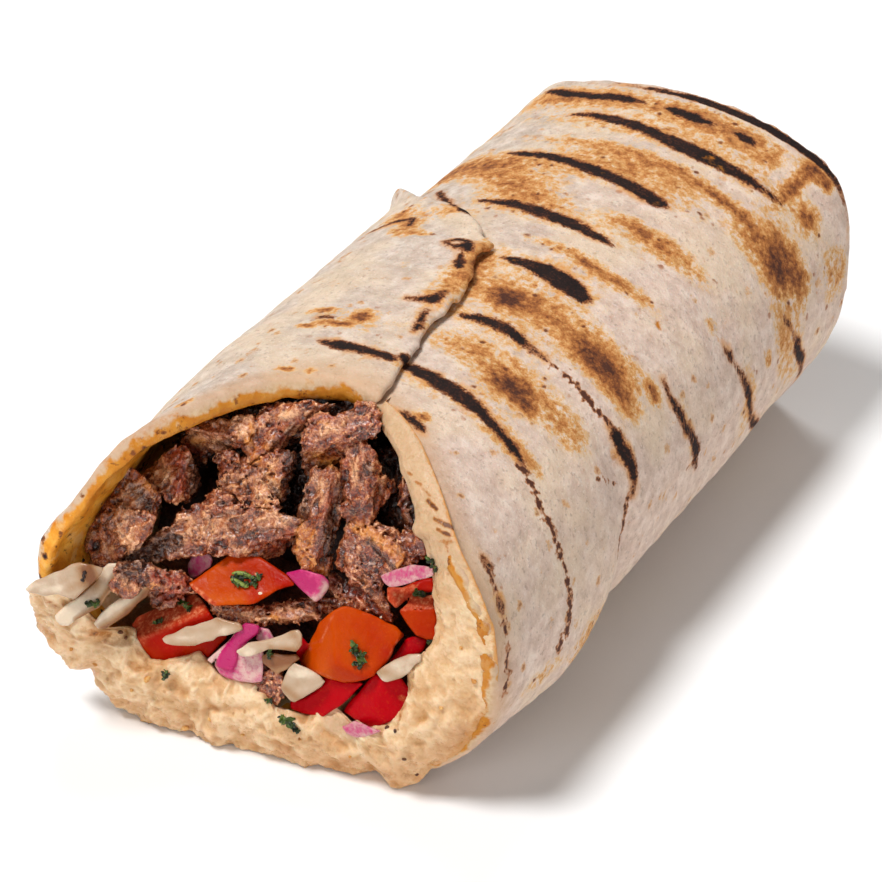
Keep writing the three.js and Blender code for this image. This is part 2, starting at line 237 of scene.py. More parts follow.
def girth_table():
    """Angles round the roll and how far round it they are, in millimetres, from angle 0."""
    angles = np.linspace(-180, 540, 1441)
    points = roll_point(np.zeros_like(angles), angles, 0.0)
    lengths = np.linalg.norm(np.diff(points, axis=0), axis=1)
    girth = np.concatenate([[0], np.cumsum(lengths)])
    return angles, girth - np.interp(0, angles, girth)


GIRTH_ANGLES, GIRTH_LENGTHS = girth_table()


def girth(angle):
    return np.interp(angle, GIRTH_ANGLES, GIRTH_LENGTHS)


# ---- The camera's place and the mouth's own frame ----

CAMERA_AZIMUTH, CAMERA_ELEVATION, CAMERA_DISTANCE = 30.0, 35.0, 530.0
CAMERA_TARGET = np.array([-0.73, -9.35, 28.0])
LENS, SENSOR_WIDTH = 130.6, 36.0


def sky_direction(azimuth, elevation):
    """The direction towards a camera or light; azimuth 0 is in front, at -Y."""
    a, e = np.radians(azimuth), np.radians(elevation)
    return np.array([np.sin(a) * np.cos(e), -np.cos(a) * np.cos(e), np.sin(e)])


def unit(vector):
    return vector / np.linalg.norm(vector)


def unit_rows(vectors):
    return vectors / np.maximum(np.linalg.norm(vectors, axis=-1, keepdims=True), 1e-6)


CAMERA_PLACE = CAMERA_TARGET + CAMERA_DISTANCE * sky_direction(CAMERA_AZIMUTH, CAMERA_ELEVATION)

SLOPE_UP = 0.49
SLOPE_ACROSS = 0.13
MOUTH_CENTRE = np.array([0, -54.8, 28.0]) + ROLL_ORIGIN
MOUTH_OUT = unit(np.array([SLOPE_ACROSS, -1, SLOPE_UP]))
MOUTH_ACROSS = unit(np.array([1, SLOPE_ACROSS, 0]))
MOUTH_UP = np.cross(MOUTH_OUT, MOUTH_ACROSS)


def sight_point(spots):
    """Points of the roll for spots sighted against the mouth's plane.

    A spot is (across, up, out) in millimetres. Across and up say where the line of sight
    meets the mouth's plane, and out how far in front of that plane the point lies on it.
    """
    flat = MOUTH_CENTRE + spots[..., :1] * MOUTH_ACROSS + spots[..., 1:2] * MOUTH_UP
    to_camera = CAMERA_PLACE - flat
    return flat + to_camera * (spots[..., 2] / (to_camera @ MOUTH_OUT))[..., None]


def sight_spots(points):
    """The spots of points, the reverse of sight_point."""
    out = (points - MOUTH_CENTRE) @ MOUTH_OUT
    to_camera = CAMERA_PLACE - points
    flat = points - to_camera * (out / (to_camera @ MOUTH_OUT))[..., None] - MOUTH_CENTRE
    return np.stack([flat @ MOUTH_ACROSS, flat @ MOUTH_UP, out], -1)


def mouth_places(points):
    """Across, up and out of points in the mouth's own frame."""
    away = points - MOUTH_CENTRE
    return np.stack([away @ MOUTH_ACROSS, away @ MOUTH_UP, away @ MOUTH_OUT], -1)


# ---- Meshes ----


def signed_volume(mesh, points):
    """The volume that a closed mesh holds, negative if its faces look inwards."""
    mesh.calc_loop_triangles()
    corners = np.empty(len(mesh.loop_triangles) * 3, np.int32)
    mesh.loop_triangles.foreach_get("vertices", corners)
    triangles = points[corners.reshape(-1, 3)]
    return np.einsum("ij,ij->i", triangles[:, 0], np.cross(triangles[:, 1], triangles[:, 2])).sum()


def make_piece(name, points, faces, material, floats=None, uv=None):
    """A mesh object in metres from points in millimetres, with float attributes by name."""
    mesh = bpy.data.meshes.new(name)
    mesh.from_pydata((points * MM).tolist(), [], faces)
    for key, values in (floats or {}).items():
        attribute = mesh.attributes.new(key, "FLOAT", "POINT")
        attribute.data.foreach_set("value", np.asarray(values, np.float32))
    if uv is not None:
        layer = mesh.uv_layers.new(name="OFBake")
        layer.data.foreach_set("uv", np.asarray(uv, np.float32).ravel())
    mesh.validate()
    if signed_volume(mesh, points) < 0:
        mesh.flip_normals()
    mesh.polygons.foreach_set("use_smooth", [True] * len(mesh.polygons))
    mesh.materials.append(material)
    piece = bpy.data.objects.new(name, mesh)
    bpy.context.scene.collection.objects.link(piece)
    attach(piece, "root")
    return piece


def loft(rows, first_pole, last_pole, merged=None):
    """Faces over closed rows of equal length with a fan to a pole at each end.

    rows is (rows, columns, 3). merged gives, for each row, the column that each column is
    merged into. Returns the points, the faces and a UV pair for each face corner.
    """
    row_count, column_count = rows.shape[:2]
    columns = np.arange(column_count)
    index = np.arange(row_count)[:, None] * column_count + (columns if merged is None else merged)
    points = np.concatenate([rows.reshape(-1, 3), [first_pole, last_pole]])
    first = len(points) - 2
    last = len(points) - 1
    faces = []
    uv = []

    def add(corners, places):
        kept = [k for k in range(len(corners)) if corners[k] != corners[k - 1]]
        if len(set(corners)) >= 3 and len(kept) == len(set(corners)):
            faces.append([corners[k] for k in kept])
            uv.extend(places[k] for k in kept)

    table = index.tolist()
    for row in range(row_count - 1):
        low = (row + 1) / (row_count + 1)
        high = (row + 2) / (row_count + 1)
        here, ahead = table[row], table[row + 1]
        for column in range(column_count):
            beside = (column + 1) % column_count
            left = column / column_count
            right = (column + 1) / column_count
            corners = [here[column], here[beside], ahead[beside], ahead[column]]
            add(corners, [(left, low), (right, low), (right, high), (left, high)])
    for column in range(column_count):
        beside = (column + 1) % column_count
        left = column / column_count
        right = (column + 1) / column_count
        low = 1 / (row_count + 1)
        add([first, table[0][beside], table[0][column]], [(left, 0), (right, low), (left, low)])
        add([last, table[-1][column], table[-1][beside]], [(left, 1), (left, 1 - low), (right, 1 - low)])
    return points, faces, uv


def capped(rows):
    """A loft with each end closed at the middle of its row."""
    return loft(rows, rows[0].mean(axis=0), rows[-1].mean(axis=0))


def drop_unused(points, faces, floats):
    """Leaves out the points that no face uses."""
    used = np.unique(np.concatenate([np.array(face) for face in faces]))
    place = np.full(len(points), -1)
    place[used] = np.arange(len(used))
    lookup = place.tolist()
    faces = [[lookup[corner] for corner in face] for face in faces]
    return points[used], faces, {key: values[used] for key, values in floats.items()}


# ---- Sculpting on a grid ----

DETAIL_REACH = 2.2  # detail is worked out only this near to a surface
UNDERCUT_FROM, UNDERCUT_RATE = 1.5, 0.3  # behind its front edge a chunk narrows
FACE_ROUNDING, BACK_ROUNDING = 0.4, 1.5  # how softly a chunk's faces meet
OUTLINE_GROWTH = 0.2  # a chunk's outline is let out by this share of its rounding
GRID_MARGIN = 1.6
BREAD_CLEARANCE = 0.01
OUTSIDE = -1.0  # what a field holds at the sides of its grid


def surface_net(field):
    """Corners and four-sided faces of the surface where a grid of numbers crosses 0.

    The solid is where the field is above 0. Each grid cell that the surface crosses gets one
    corner, in the middle of its crossings, so the mesh is even and has no slivers.
    """
    shape = np.array(field.shape)
    solid = field > 0
    cell_of = np.array([shape[1] * shape[2], shape[2], 1])
    total = np.zeros((4, shape.prod()))
    quads = []
    for axis in range(3):
        step = np.eye(3, dtype=int)[axis]
        here = tuple(slice(0, shape[k] - step[k]) for k in range(3))
        there = tuple(slice(step[k], None) for k in range(3))
        start = np.argwhere(solid[here] != solid[there])
        start = start[np.all((start > 0) | (step == 1), axis=1)]
        value_here = field[tuple(start.T)]
        value_there = field[tuple((start + step).T)]
        share = value_here / (value_here - value_there)
        crossing = start + step * share[:, None]
        side_one, side_two = np.roll(step, 1), np.roll(step, 2)
        around = [start, start - side_one, start - side_one - side_two, start - side_two]
        around = np.stack([(cell * cell_of).sum(axis=1) for cell in around], -1)
        for corner in range(4):
            for k in range(3):
                total[k] += np.bincount(around[:, corner], crossing[:, k], total.shape[1])
            total[3] += np.bincount(around[:, corner], minlength=total.shape[1])
        outward = value_here > 0
        quads.append(np.where(outward[:, None], around, around[:, ::-1]))
    used = np.flatnonzero(total[3])
    number = np.zeros(total.shape[1], int)
    number[used] = np.arange(len(used))
    corners = (total[:3, used] / total[3, used]).T
    return corners, number[np.concatenate(quads)]


def inset(across, up, outline):
    """How far inside an outline each place is, in millimetres; negative outside it."""
    across, up = np.broadcast_arrays(across, up)
    corners = np.array(outline, float)
    nearest = np.full(across.shape, 1e9)
    crossings = np.zeros(across.shape, int)
    for (x1, y1), (x2, y2) in zip(corners, np.roll(corners, -1, axis=0)):
        nearest = np.minimum(nearest, line_away(across, up, (x1, y1), (x2, y2))[0])
        if y1 != y2:
            meets = x1 + (up - y1) * (x2 - x1) / (y2 - y1)
            crossings = crossings + (((y1 > up) != (y2 > up)) & (across < meets))
    return np.where(crossings % 2 == 1, nearest, -nearest)


def soft_min(first, second, radius):
    near = np.maximum(radius - np.abs(first - second), 0)
    return np.minimum(first, second) - near * near / (4 * radius)


def front_level(across, up, faces):
    """How far out the front of a chunk lies. A face is (across, up, out, slope across, slope up)."""
    front = None
    for at_across, at_up, at_out, slope_across, slope_up in faces:
        face = at_out + slope_across * (across - at_across) + slope_up * (up - at_up)
        front = face if front is None else soft_min(front, face, FACE_ROUNDING)
    return front


def chunk_field(across, up, out, part, edge):
    """Above 0 inside a chunk, which is (outline on the mouth's plane, front faces, thickness)."""
    outline, faces, thickness = part[:3]
    behind = front_level(across, up, faces) - out
    narrowed = inset(across, up, outline) + OUTLINE_GROWTH * edge
    narrowed = narrowed - UNDERCUT_RATE * np.maximum(behind - UNDERCUT_FROM, 0)
    return soft_min(soft_min(narrowed, behind, edge), thickness - behind, BACK_ROUNDING)


def room(points):
    """How far points are inside the bread's wall or in front of its rim, in millimetres."""
    x, y, z = (points - ROLL_ORIGIN).T
    half_width, half_height = half_sizes(y)
    rise = z - half_height * (1 - PRESSED)
    across = signed_power(x / half_width, SQUARENESS / 2)
    upward = signed_power(rise / half_height, SQUARENESS / 2)
    angle = np.degrees(np.arctan2(upward, across))
    share = np.maximum(np.hypot(across, upward) ** (2 / SQUARENESS), 0.05)
    deep = np.hypot(x, rise) * (1 / share - 1)
    inside = deep - wall(angle) - pinch(y, angle) + flare(y, angle)
    return np.maximum(inside, bread_rim(angle) - y)


def stacked_field(across, up, out, parts, edge):
    fields = [chunk_field(across, up, out, part, edge) for part in parts]
    return np.stack([field + 0 * out for field in fields])


def sculpt(parts, step, edge, detail):
    """A mesh of the parts' union with detail on it. Returns points, faces, spots and parts.

    detail takes places in the mouth's own frame and returns heights in millimetres. The last
    result says, for each point, which part it belongs to.
    """
    corners = np.concatenate([np.array(part[0], float) for part in parts])
    fronts = []
    for outline, faces, thickness, *_ in parts:
        a, u = np.array(outline, float).T
        levels = [f[2] + f[3] * (a - f[0]) + f[4] * (u - f[1]) for f in faces]
        front = np.min(levels, axis=0)
        fronts += [front.max(), front.min() - thickness]
    low = np.array([*corners.min(axis=0), min(fronts)]) - GRID_MARGIN
    high = np.array([*corners.max(axis=0), max(fronts)]) + GRID_MARGIN
    axes = [np.arange(low[k], high[k], step) for k in range(3)]
    across, up, out = np.meshgrid(*axes, indexing="ij", sparse=True)
    field = stacked_field(across, up, out, parts, edge).max(axis=0)
    near = np.argwhere(np.abs(field) < DETAIL_REACH)
    spots = low + near * step
    points = sight_point(spots)
    field[tuple(near.T)] += detail(mouth_places(points))
    deep = np.argwhere(field > 0)
    space = room(sight_point(low + deep * step)) + BREAD_CLEARANCE
    field[tuple(deep.T)] = np.minimum(field[tuple(deep.T)], space)
    for axis in range(3):
        edges = [slice(None)] * 3
        for end in (0, -1):
            edges[axis] = end
            field[tuple(edges)] = OUTSIDE
    places, faces = surface_net(field)
    spots = low + places * step
    owner = stacked_field(*spots.T, parts, edge).argmax(axis=0)
    return sight_point(spots), faces, spots, owner


def strokes_field(spots, strokes):
    """From 0 to 1, how much each spot is painted. A stroke is two ends, a radius and a strength."""
    bare = np.ones(len(spots))
    for a1, u1, a2, u2, radius, strength in strokes:
        away, _ = line_away(spots[:, 0], spots[:, 1], (a1, u1), (a2, u2))
        bare *= 1 - strength * bell(away, 0, radius)
    return 1 - bare


class Heap:
    """Meshes gathered into one piece, with float attributes by name."""

    def __init__(self):
        self.points, self.faces, self.floats, self.count = [], [], {}, 0

    def add(self, points, faces, floats):
        self.points.append(points)
        listed = faces.tolist() if isinstance(faces, np.ndarray) else faces
        self.faces.extend([corner + self.count for corner in face] for face in listed)
        for key, values in floats.items():
            self.floats.setdefault(key, []).append(values)
        self.count += len(points)

    def piece(self, name, slot, material):
        floats = {key: np.concatenate(values) for key, values in self.floats.items()}
        return make_piece(name, np.concatenate(self.points), self.faces, material, floats)


# ---- Bread: its form ----

BREAD_COLUMNS = 318
BREAD_ROWS = 204
INSIDE_ROWS = 22
RIM_ROWS = 9
TAIL_ROWS = 44
RIM_LUMPS, RIM_LUMP_SIZE = 0.4, 2.6
RIM_WANDER = 0.5
SHEET_EDGE = 0.4  # where the sheet's top begins behind the flap's edge, in degrees
TUCK = 10.0  # how far the flap overlaps the layer under it, in degrees
TUCK_COLUMNS = 7
EDGE_COLUMNS = 6

# Where the flap's edge is curled up by the heat: (y, how far, reach along the edge)
CURLS = [
    (31, 1.5, 3.2), (6.5, 0.8, 2.2), (-1, 0.5, 2.0), (-9.8, 0.8, 1.6), (-16, 0.3, 2.5), (16, 0.4, 4.0),
    (26, 0.5, 5.0),
]

# How far the flap's edge wanders from its straight run: (y, degrees)
EDGE_WANDER = [
    (-75, 0), (-36, 0.3), (-31.5, 0.8), (-24.6, 0.5), (-20, 1.2), (-16.5, 0.9), (-14, 0.1),
    (-11.2, -0.4), (-9.4, -1.2), (-7.6, -0.8), (-3.8, -0.5), (-0.7, -0.6), (2, 0.4), (4.5, 0.7),
    (7, -0.4), (9.4, -0.8), (11, -0.6), (13.7, -3.5), (19.8, -5.8), (23.2, -5.5), (31, -3.5), (40, -2),
    (75, 0),
]


def curl_height(y):
    return sum(height * bell(y, at, reach) for at, height, reach in CURLS)


def edge_wander(y):
    """The flap's edge isn't straight: it steps and waves a little."""
    line = np.stack([y * 0.5, y * 0 + 3.3, y * 0 + 8.1], -1)
    places, degrees = np.array(EDGE_WANDER).T
    return np.interp(y, places, degrees) + 0.5 * noise(line, 1.0, 5, 3)


def bread_columns():
    """One turn of the sheet's outside as a closed loop of columns.

    It starts in the tuck under the flap, comes out along the flap's underside, rounds its
    edge, goes once round the roll and ends in the tuck again. Returns each column's offset
    from the flap's edge in degrees, its share of the turn, how high it is in the sheet, from
    0 underneath to 1 on top, and whether it belongs to the tuck or the edge.
    """
    under = np.linspace(TUCK, SHEET_EDGE, TUCK_COLUMNS)
    bend = np.linspace(-80, 80, EDGE_COLUMNS)
    round_edge = -1.3 * np.cos(np.radians(bend))
    top = np.linspace(SHEET_EDGE, 360 - SHEET_EDGE, BREAD_COLUMNS)
    lap = np.linspace(360.5, 360 + TUCK, TUCK_COLUMNS)
    offset = np.concatenate([under, round_edge, top, lap])
    turn = np.concatenate([0 * under, 0 * round_edge, top / 360, 0 * lap + 1])
    high = np.concatenate([0 * under, 0.5 + 0.5 * np.sin(np.radians(bend)), 0 * top + 1, 0 * lap + 1])
    fold = np.concatenate([0 * under + 1, 0 * round_edge + 1, 0 * top, 0 * lap + 1])
    return offset, turn, high, fold


def unrolled(y, angle):
    """Places of the bread laid out flat: how far round the roll and along it, in millimetres."""
    return np.stack([girth(np.mod(angle, 360)), y + 0 * angle, 0 * angle], -1)


def bread_relief(y, angle):
    """Bumps, bubbles and wrinkles of the bread's skin, in millimetres."""
    flat = unrolled(y, angle)
    waves = 0.45 * noise(flat, 16.0, 11, 2)
    bubbles = 0.16 * noise(flat, 4.0, 12, 3)
    wrinkles = 0.12 * noise(flat * np.array([0.35, 1.0, 1.0]), 2.4, 13, 2)
    return waves + bubbles + wrinkles


def outer_level(y, angle, offset, turn, high):
    """How high the sheet's outside stands over the base surface."""
    lifted = curl_height(y) * smooth(-offset, -9, 0) * (turn < 0.5)
    top = SHEET * (1 - turn) + lifted
    under = 0.12 * smooth(offset, TUCK, 0) + lifted
    spiral = np.where(high < 1, mix(under, top, high), top)
    relief = bread_relief(y, angle) * smooth(high, 0, 1)
    return spiral + outside_swell(y, angle) + flare(y, angle) + relief


def bread_row_angles(along, offset):
    top_y = mix(mouth_edge(90.0), TAIL_END, along)
    edge = flap_edge(top_y) + edge_wander(np.array([top_y]))[0]
    return edge + offset


def rim_wander(angle):
    """The rim isn't cut clean: it waves and is a little torn."""
    ring = np.stack([np.cos(np.radians(angle)) * 37, np.sin(np.radians(angle)) * 28, 0 * angle], -1)
    return RIM_WANDER * (noise(ring, 9.0, 21, 3) + 0.5 * noise(ring, 2.0, 22, 2))


def rim_lumps(y, angle):
    return RIM_LUMPS * noise(unrolled(y, angle), RIM_LUMP_SIZE, 32, 2)


def row_facts(y, angle, region):
    """A row's facts for each point: y, angle and region.

    The region is 0 on the inner wall, 1 on the outside and 2 at the folded end's middle.
    """
    return np.stack([y + 0 * angle, angle + 0 * y, 0 * angle + region], -1)


def bread_grid():
    """The bread's rows from the inner wall, over the rim, along the outside to the tail."""
    offset, turn, high, fold = bread_columns()
    first_top = int(np.argmax(fold == 0))
    own = np.arange(len(offset))
    folded = np.where(fold > 0, first_top, own)
    rows, merged, facts = [], [], []
    start_angles = bread_row_angles(0.0, np.where(fold > 0, 0.0, offset))
    inside_shares = np.linspace(1, 0, INSIDE_ROWS + 1)[:-1] ** 2.2
    for share in inside_shares:
        y = mix(bread_rim(start_angles) + WALL / 2, INSIDE_END, share)
        ripple = 0.35 * noise(unrolled(y, start_angles), 7.0, 31, 3) * smooth(share, 0, 0.05)
        ripple = ripple + rim_lumps(y, start_angles)
        level = flare(y, start_angles) - wall(start_angles) + ripple
        rows.append(roll_point(y, start_angles, level))
        merged.append(folded)
        facts.append(row_facts(y, start_angles, 0.0))
    for bend in np.linspace(15, 165, RIM_ROWS):
        lean = (1 - np.cos(np.radians(bend))) / 2
        opened = smooth(bend, 70, 165)
        from_edge = np.where(offset > 180, offset - 360, offset)
        angles = bread_row_angles(0.0, np.where(fold > 0, from_edge * opened, offset))
        y = bread_rim(angles) + (WALL / 2) * (1 - np.sin(np.radians(bend)))
        y = y + rim_wander(angles)
        outside = outer_level(y, angles, offset, turn, high)
        lumps = rim_lumps(y, angles) * (1 - smooth(bend, 120, 165))
        within = flare(y, angles) - wall(angles)
        level = mix(within, mix(SHEET / 2, outside, opened), lean) + lumps
        rows.append(roll_point(y, angles, level))
        merged.append(folded if opened == 0 else own)
        facts.append(row_facts(y, angles, lean))
    for along in np.linspace(0, 1, BREAD_ROWS + 1)[1:]:
        angles = bread_row_angles(along, offset)
        rim_y = bread_rim(angles) + (WALL / 2) + rim_wander(angles)
        y = mix(rim_y, tail_edge(angles), along)
        rows.append(roll_point(y, angles, outer_level(y, angles, offset, turn, high)))
        merged.append(own)
        facts.append(row_facts(y, angles, 1.0))
    return rows, merged, facts, (offset, turn, high, fold)


def over_flap(x, z):
    """How far a place of the folded end lies above the edge of its top flap."""
    return z - TAIL_HALF_HEIGHT - 0.35 * np.abs(x) - 0.7 * np.sin(x / 5.5)


def past_tuck(x, z):
    """How far a place of the folded end lies out past the edge of a tucked side."""
    return np.abs(x) + 0.12 * z - 13.0 - 0.5 * np.sin(z / 4)


def tail_fold(x, z):
    """How far the folded end stands out: a flap from the top over two tucked sides."""
    above = over_flap(x, z)
    outward = past_tuck(x, z)
    top_flap = 1.3 * SHEET * smooth(above, -0.4, 0.5)
    side_tuck = 0.8 * SHEET * smooth(outward, -0.4, 0.5)
    grooves = 0.9 * bell(above, -0.9, 0.55) + 0.6 * bell(outward, -0.9, 0.5) * (above < 0)
    return top_flap + side_tuck - grooves - 1.5 * SHEET


def tail_rows(last_row, angles):
    """The crest of the folded end, and the dish inside it."""
    middle = np.array([0, TAIL_END - TAIL_DISH, TAIL_HALF_HEIGHT]) + ROLL_ORIGIN
    rows = []
    ragged = noise(last_row, 2.6, 41, 3)
    crest = ring_bell(angles, 75, 55) * (1.1 + 0.9 * ragged)
    for step in np.linspace(0, 1, TAIL_ROWS + 1)[:-1]:
        reach = 1 - 0.03 * smooth(step, 0, 0.1) - 0.95 * smooth(step, 0.08, 1.12)
        moved = middle + (last_row - middle) * reach
        rounded = smooth(step, 0, 0.06)
        fold = tail_fold(moved[:, 0], moved[:, 2]) * smooth(step, 0.1, 0.3)
        proud = (crest + rounded) * (1 - smooth(step, 0.08, 0.24))
        dish_y = mix(last_row[:, 1], middle[1], smooth(step, 0.1, 0.8))
        flat = moved * np.array([1, 0, 1])
        crumple = (0.8 * noise(flat, 9.0, 42, 3) + 0.25 * noise(flat, 2.8, 44, 2)) * smooth(step, 0.1, 0.4)
        moved[:, 1] = dish_y + proud + fold + crumple
        rows.append(moved)
    return rows


def tail_toast(points):
    """Toasting of the folded end: on the flap's edge, and in a few blotches."""
    flat = points * np.array([1, 0, 1])
    bent = flat + 3.5 * np.stack([noise(flat, 7.0, 47 + k, 2) for k in range(3)], -1)
    blotches = 0.5 * smooth(noise(bent, 11.0, 43, 3) + 0.35 * noise(flat, 2.4, 50, 2), 0.05, 0.75)
    above = over_flap(points[:, 0], points[:, 2])
    edge = 0.5 * bell(above, 1.2, 1.2) * smooth(noise(flat, 6.0, 45, 2), -0.5, 0.1)
    side = 0.4 * bell(past_tuck(points[:, 0], points[:, 2]), 1.0, 1.2) * (above < -0.5)
    return np.maximum(blotches, np.maximum(edge, side * smooth(noise(flat, 5.0, 46, 2), -0.2, 0.3)))


# ---- Bread: its grilling ----

# Grill marks along the roll's length, each a run of (y, angle, width). Width is in millimetres.
GRILL_MARKS = [
    [(71.5, 128, 1.0), (70, 120, 2.2), (69.3, 110, 2.2), (69.5, 103, 2.6), (69.2, 97, 1.4),
    (69.2, 94.5, 0.2)],
    [(69, 89, 0.8), (68.6, 86, 2.2), (68.2, 80, 2.4), (68.6, 76, 0.6)],
    [(68.8, 69, 1.0), (68.7, 66.5, 2.4), (68.3, 63, 0.6)],
    [(61.3, 110, 0.3), (61.7, 103, 1.5), (61.1, 97, 2.4), (60.1, 90, 2.5), (59, 84, 3.0), (58.4, 77, 3.8),
     (58.3, 70, 3.7), (58.7, 63, 2.6), (59.2, 55, 1.8), (59.6, 50, 1.0), (60.5, 43, 0.3)],
    [(44.7, 117, 0.2), (44.3, 112, 1.3), (44.2, 105, 1.9), (43.6, 98, 2.1), (42.3, 90, 2.6), (41.3, 83, 2.6),
     (40.5, 76, 2.9), (40.1, 71, 2.8), (40.2, 68, 0.6)],
    [(25.2, 108, 0.2), (25.5, 102, 1.5), (25.6, 97, 2.2), (25.2, 92, 2.6), (24.6, 85, 2.6), (23.9, 78, 2.1),
     (23.5, 73, 1.1), (23.5, 71, 0.2)],
    [(8.7, 89, 0.5), (9, 85, 2.1), (9.2, 80, 3.6), (9, 75, 4.3), (8.4, 70, 3.9), (7.9, 66, 2.2),
    (7.7, 64, 0.4)],
    [(-10, 86, 0.5), (-9.1, 82, 1.5), (-8.6, 78, 2.1), (-8.8, 74, 2.2), (-9.5, 70, 1.8), (-10, 66, 0.7),
     (-10.3, 60, 0.1)],
    [(-11.2, 34, 0.3), (-11.2, 30, 1.9), (-11.3, 25, 2.2), (-10.9, 20, 1.9), (-10.9, 16, 1.5),
    (-11.1, 13, 0.6), (-12.2, 9, 0.2)],
    [(-29.8, 103, 0.8), (-29.7, 99, 2.3), (-29.4, 94, 2.0), (-29.0, 88, 1.7)],
    [(-27.6, 86, 1.6), (-27.9, 80, 2.6), (-28.4, 74, 3.0), (-29.1, 67, 2.8), (-30.1, 61, 1.9), (-31, 55, 1.3),
     (-31.9, 49, 1.4), (-32.8, 44, 0.5)],
    [(-39.2, 80, 0.3), (-38.9, 76, 1.1), (-39.8, 72, 0.9), (-40.5, 69.5, 0.2)],
    [(-52.3, 34, 0.5), (-52.3, 31, 1.3), (-52.5, 29, 0.3)],
    [(-54.2, 21, 0.9), (-54.3, 19, 1.5), (-54.5, 17.5, 0.2)],
    [(6, 31, 0.4), (5.3, 27, 0.1), (5.8, 22, 0.9), (6.6, 17, 1.3), (7.2, 12, 1.3), (8.5, 7, 1.4), (9, 3, 2.0),
     (9.3, 0, 1.8), (10.5, -4, 0.3)],
    [(25, 22, 0.6), (25.8, 19, 1.2), (26.3, 15, 0.1), (26.9, 12, 0.6), (27.8, 8, 1.2), (28.7, 4, 1.6),
     (30, 0, 1.6), (31.5, -5, 0.7), (33, -10, 0.9), (35.3, -15, 1.3), (38, -20, 1.4), (41, -25, 0.3)],
    [(45.5, 13, 0.4), (46.5, 10, 0.8), (48, 5, 0.4), (49.8, 0, 1.4), (51.5, -5, 1.7), (53.8, -10, 1.5),
     (56, -18, 0.7), (58, -24, 0.2)],
    [(13, 134, 0.2), (15.5, 120, 0.7), (12, 117, 0.3)],
    [(-21.8, 112, 0.3), (-21.7, 110, 1.1), (-21.8, 108, 0.3)],
    [(29.5, 127, 0.3), (27, 123, 0.9), (22, 114, 1.1), (18.6, 107, 0.8), (17, 102, 0.2)],
    [(6.8, 101, 0.4), (8.2, 99, 0.7), (8.2, 97, 0.7), (7.4, 95.5, 1.4), (5.6, 94.5, 1.6), (4.6, 94, 0.3)],
    [(6.8, 101, 0.4), (5.8, 99, 0.7), (5.6, 97, 0.8), (6.6, 95, 1.2)],
    [(3.3, 94.6, 0.3), (2, 93.8, 1.4), (0.3, 92.8, 1.2), (-0.8, 92.4, 0.2)],
    [(-8, 90.6, 0.4), (-9.5, 90.3, 1.3), (-10.8, 90.8, 1.5), (-11.4, 92.5, 0.9), (-11.9, 96, 0.3)],
    [(-13.8, 90.4, 0.2), (-16, 90, 0.8), (-19, 89.4, 0.8), (-20.3, 89.1, 0.1)],
]

# Thin trails of scorched dots: runs of (y, angle, width)
DOTTED_TRAILS = [
    [(-10.3, 66, 1.0), (-10.3, 60, 0.8), (-10.6, 53, 0.7), (-11.4, 45, 1.5), (-11.4, 41, 1.2),
    (-11.2, 34, 0.6)],
    [(-12, 12, 0.8), (-13.8, 5, 0.8), (-16, -2, 0.5), (-17, -8, 0.4)],
    [(-33, 45, 1.4), (-34.2, 40, 1.0), (-35.8, 30, 1.0), (-36.3, 20, 1.1), (-36.5, 10, 1.0), (-37, 0, 1.3),
     (-38.5, -5, 1.5), (-41, -9, 1.0)],
    [(-52.4, 33, 1.2), (-53.5, 24, 0.9), (-54.6, 16, 0.9), (-55.2, 9, 0.9), (-56, 0, 1.0), (-57, -6, 0.8)],
    [(-15, 17, 0.5), (-18, 20, 0.4), (-20.5, 25, 0.3)],
]

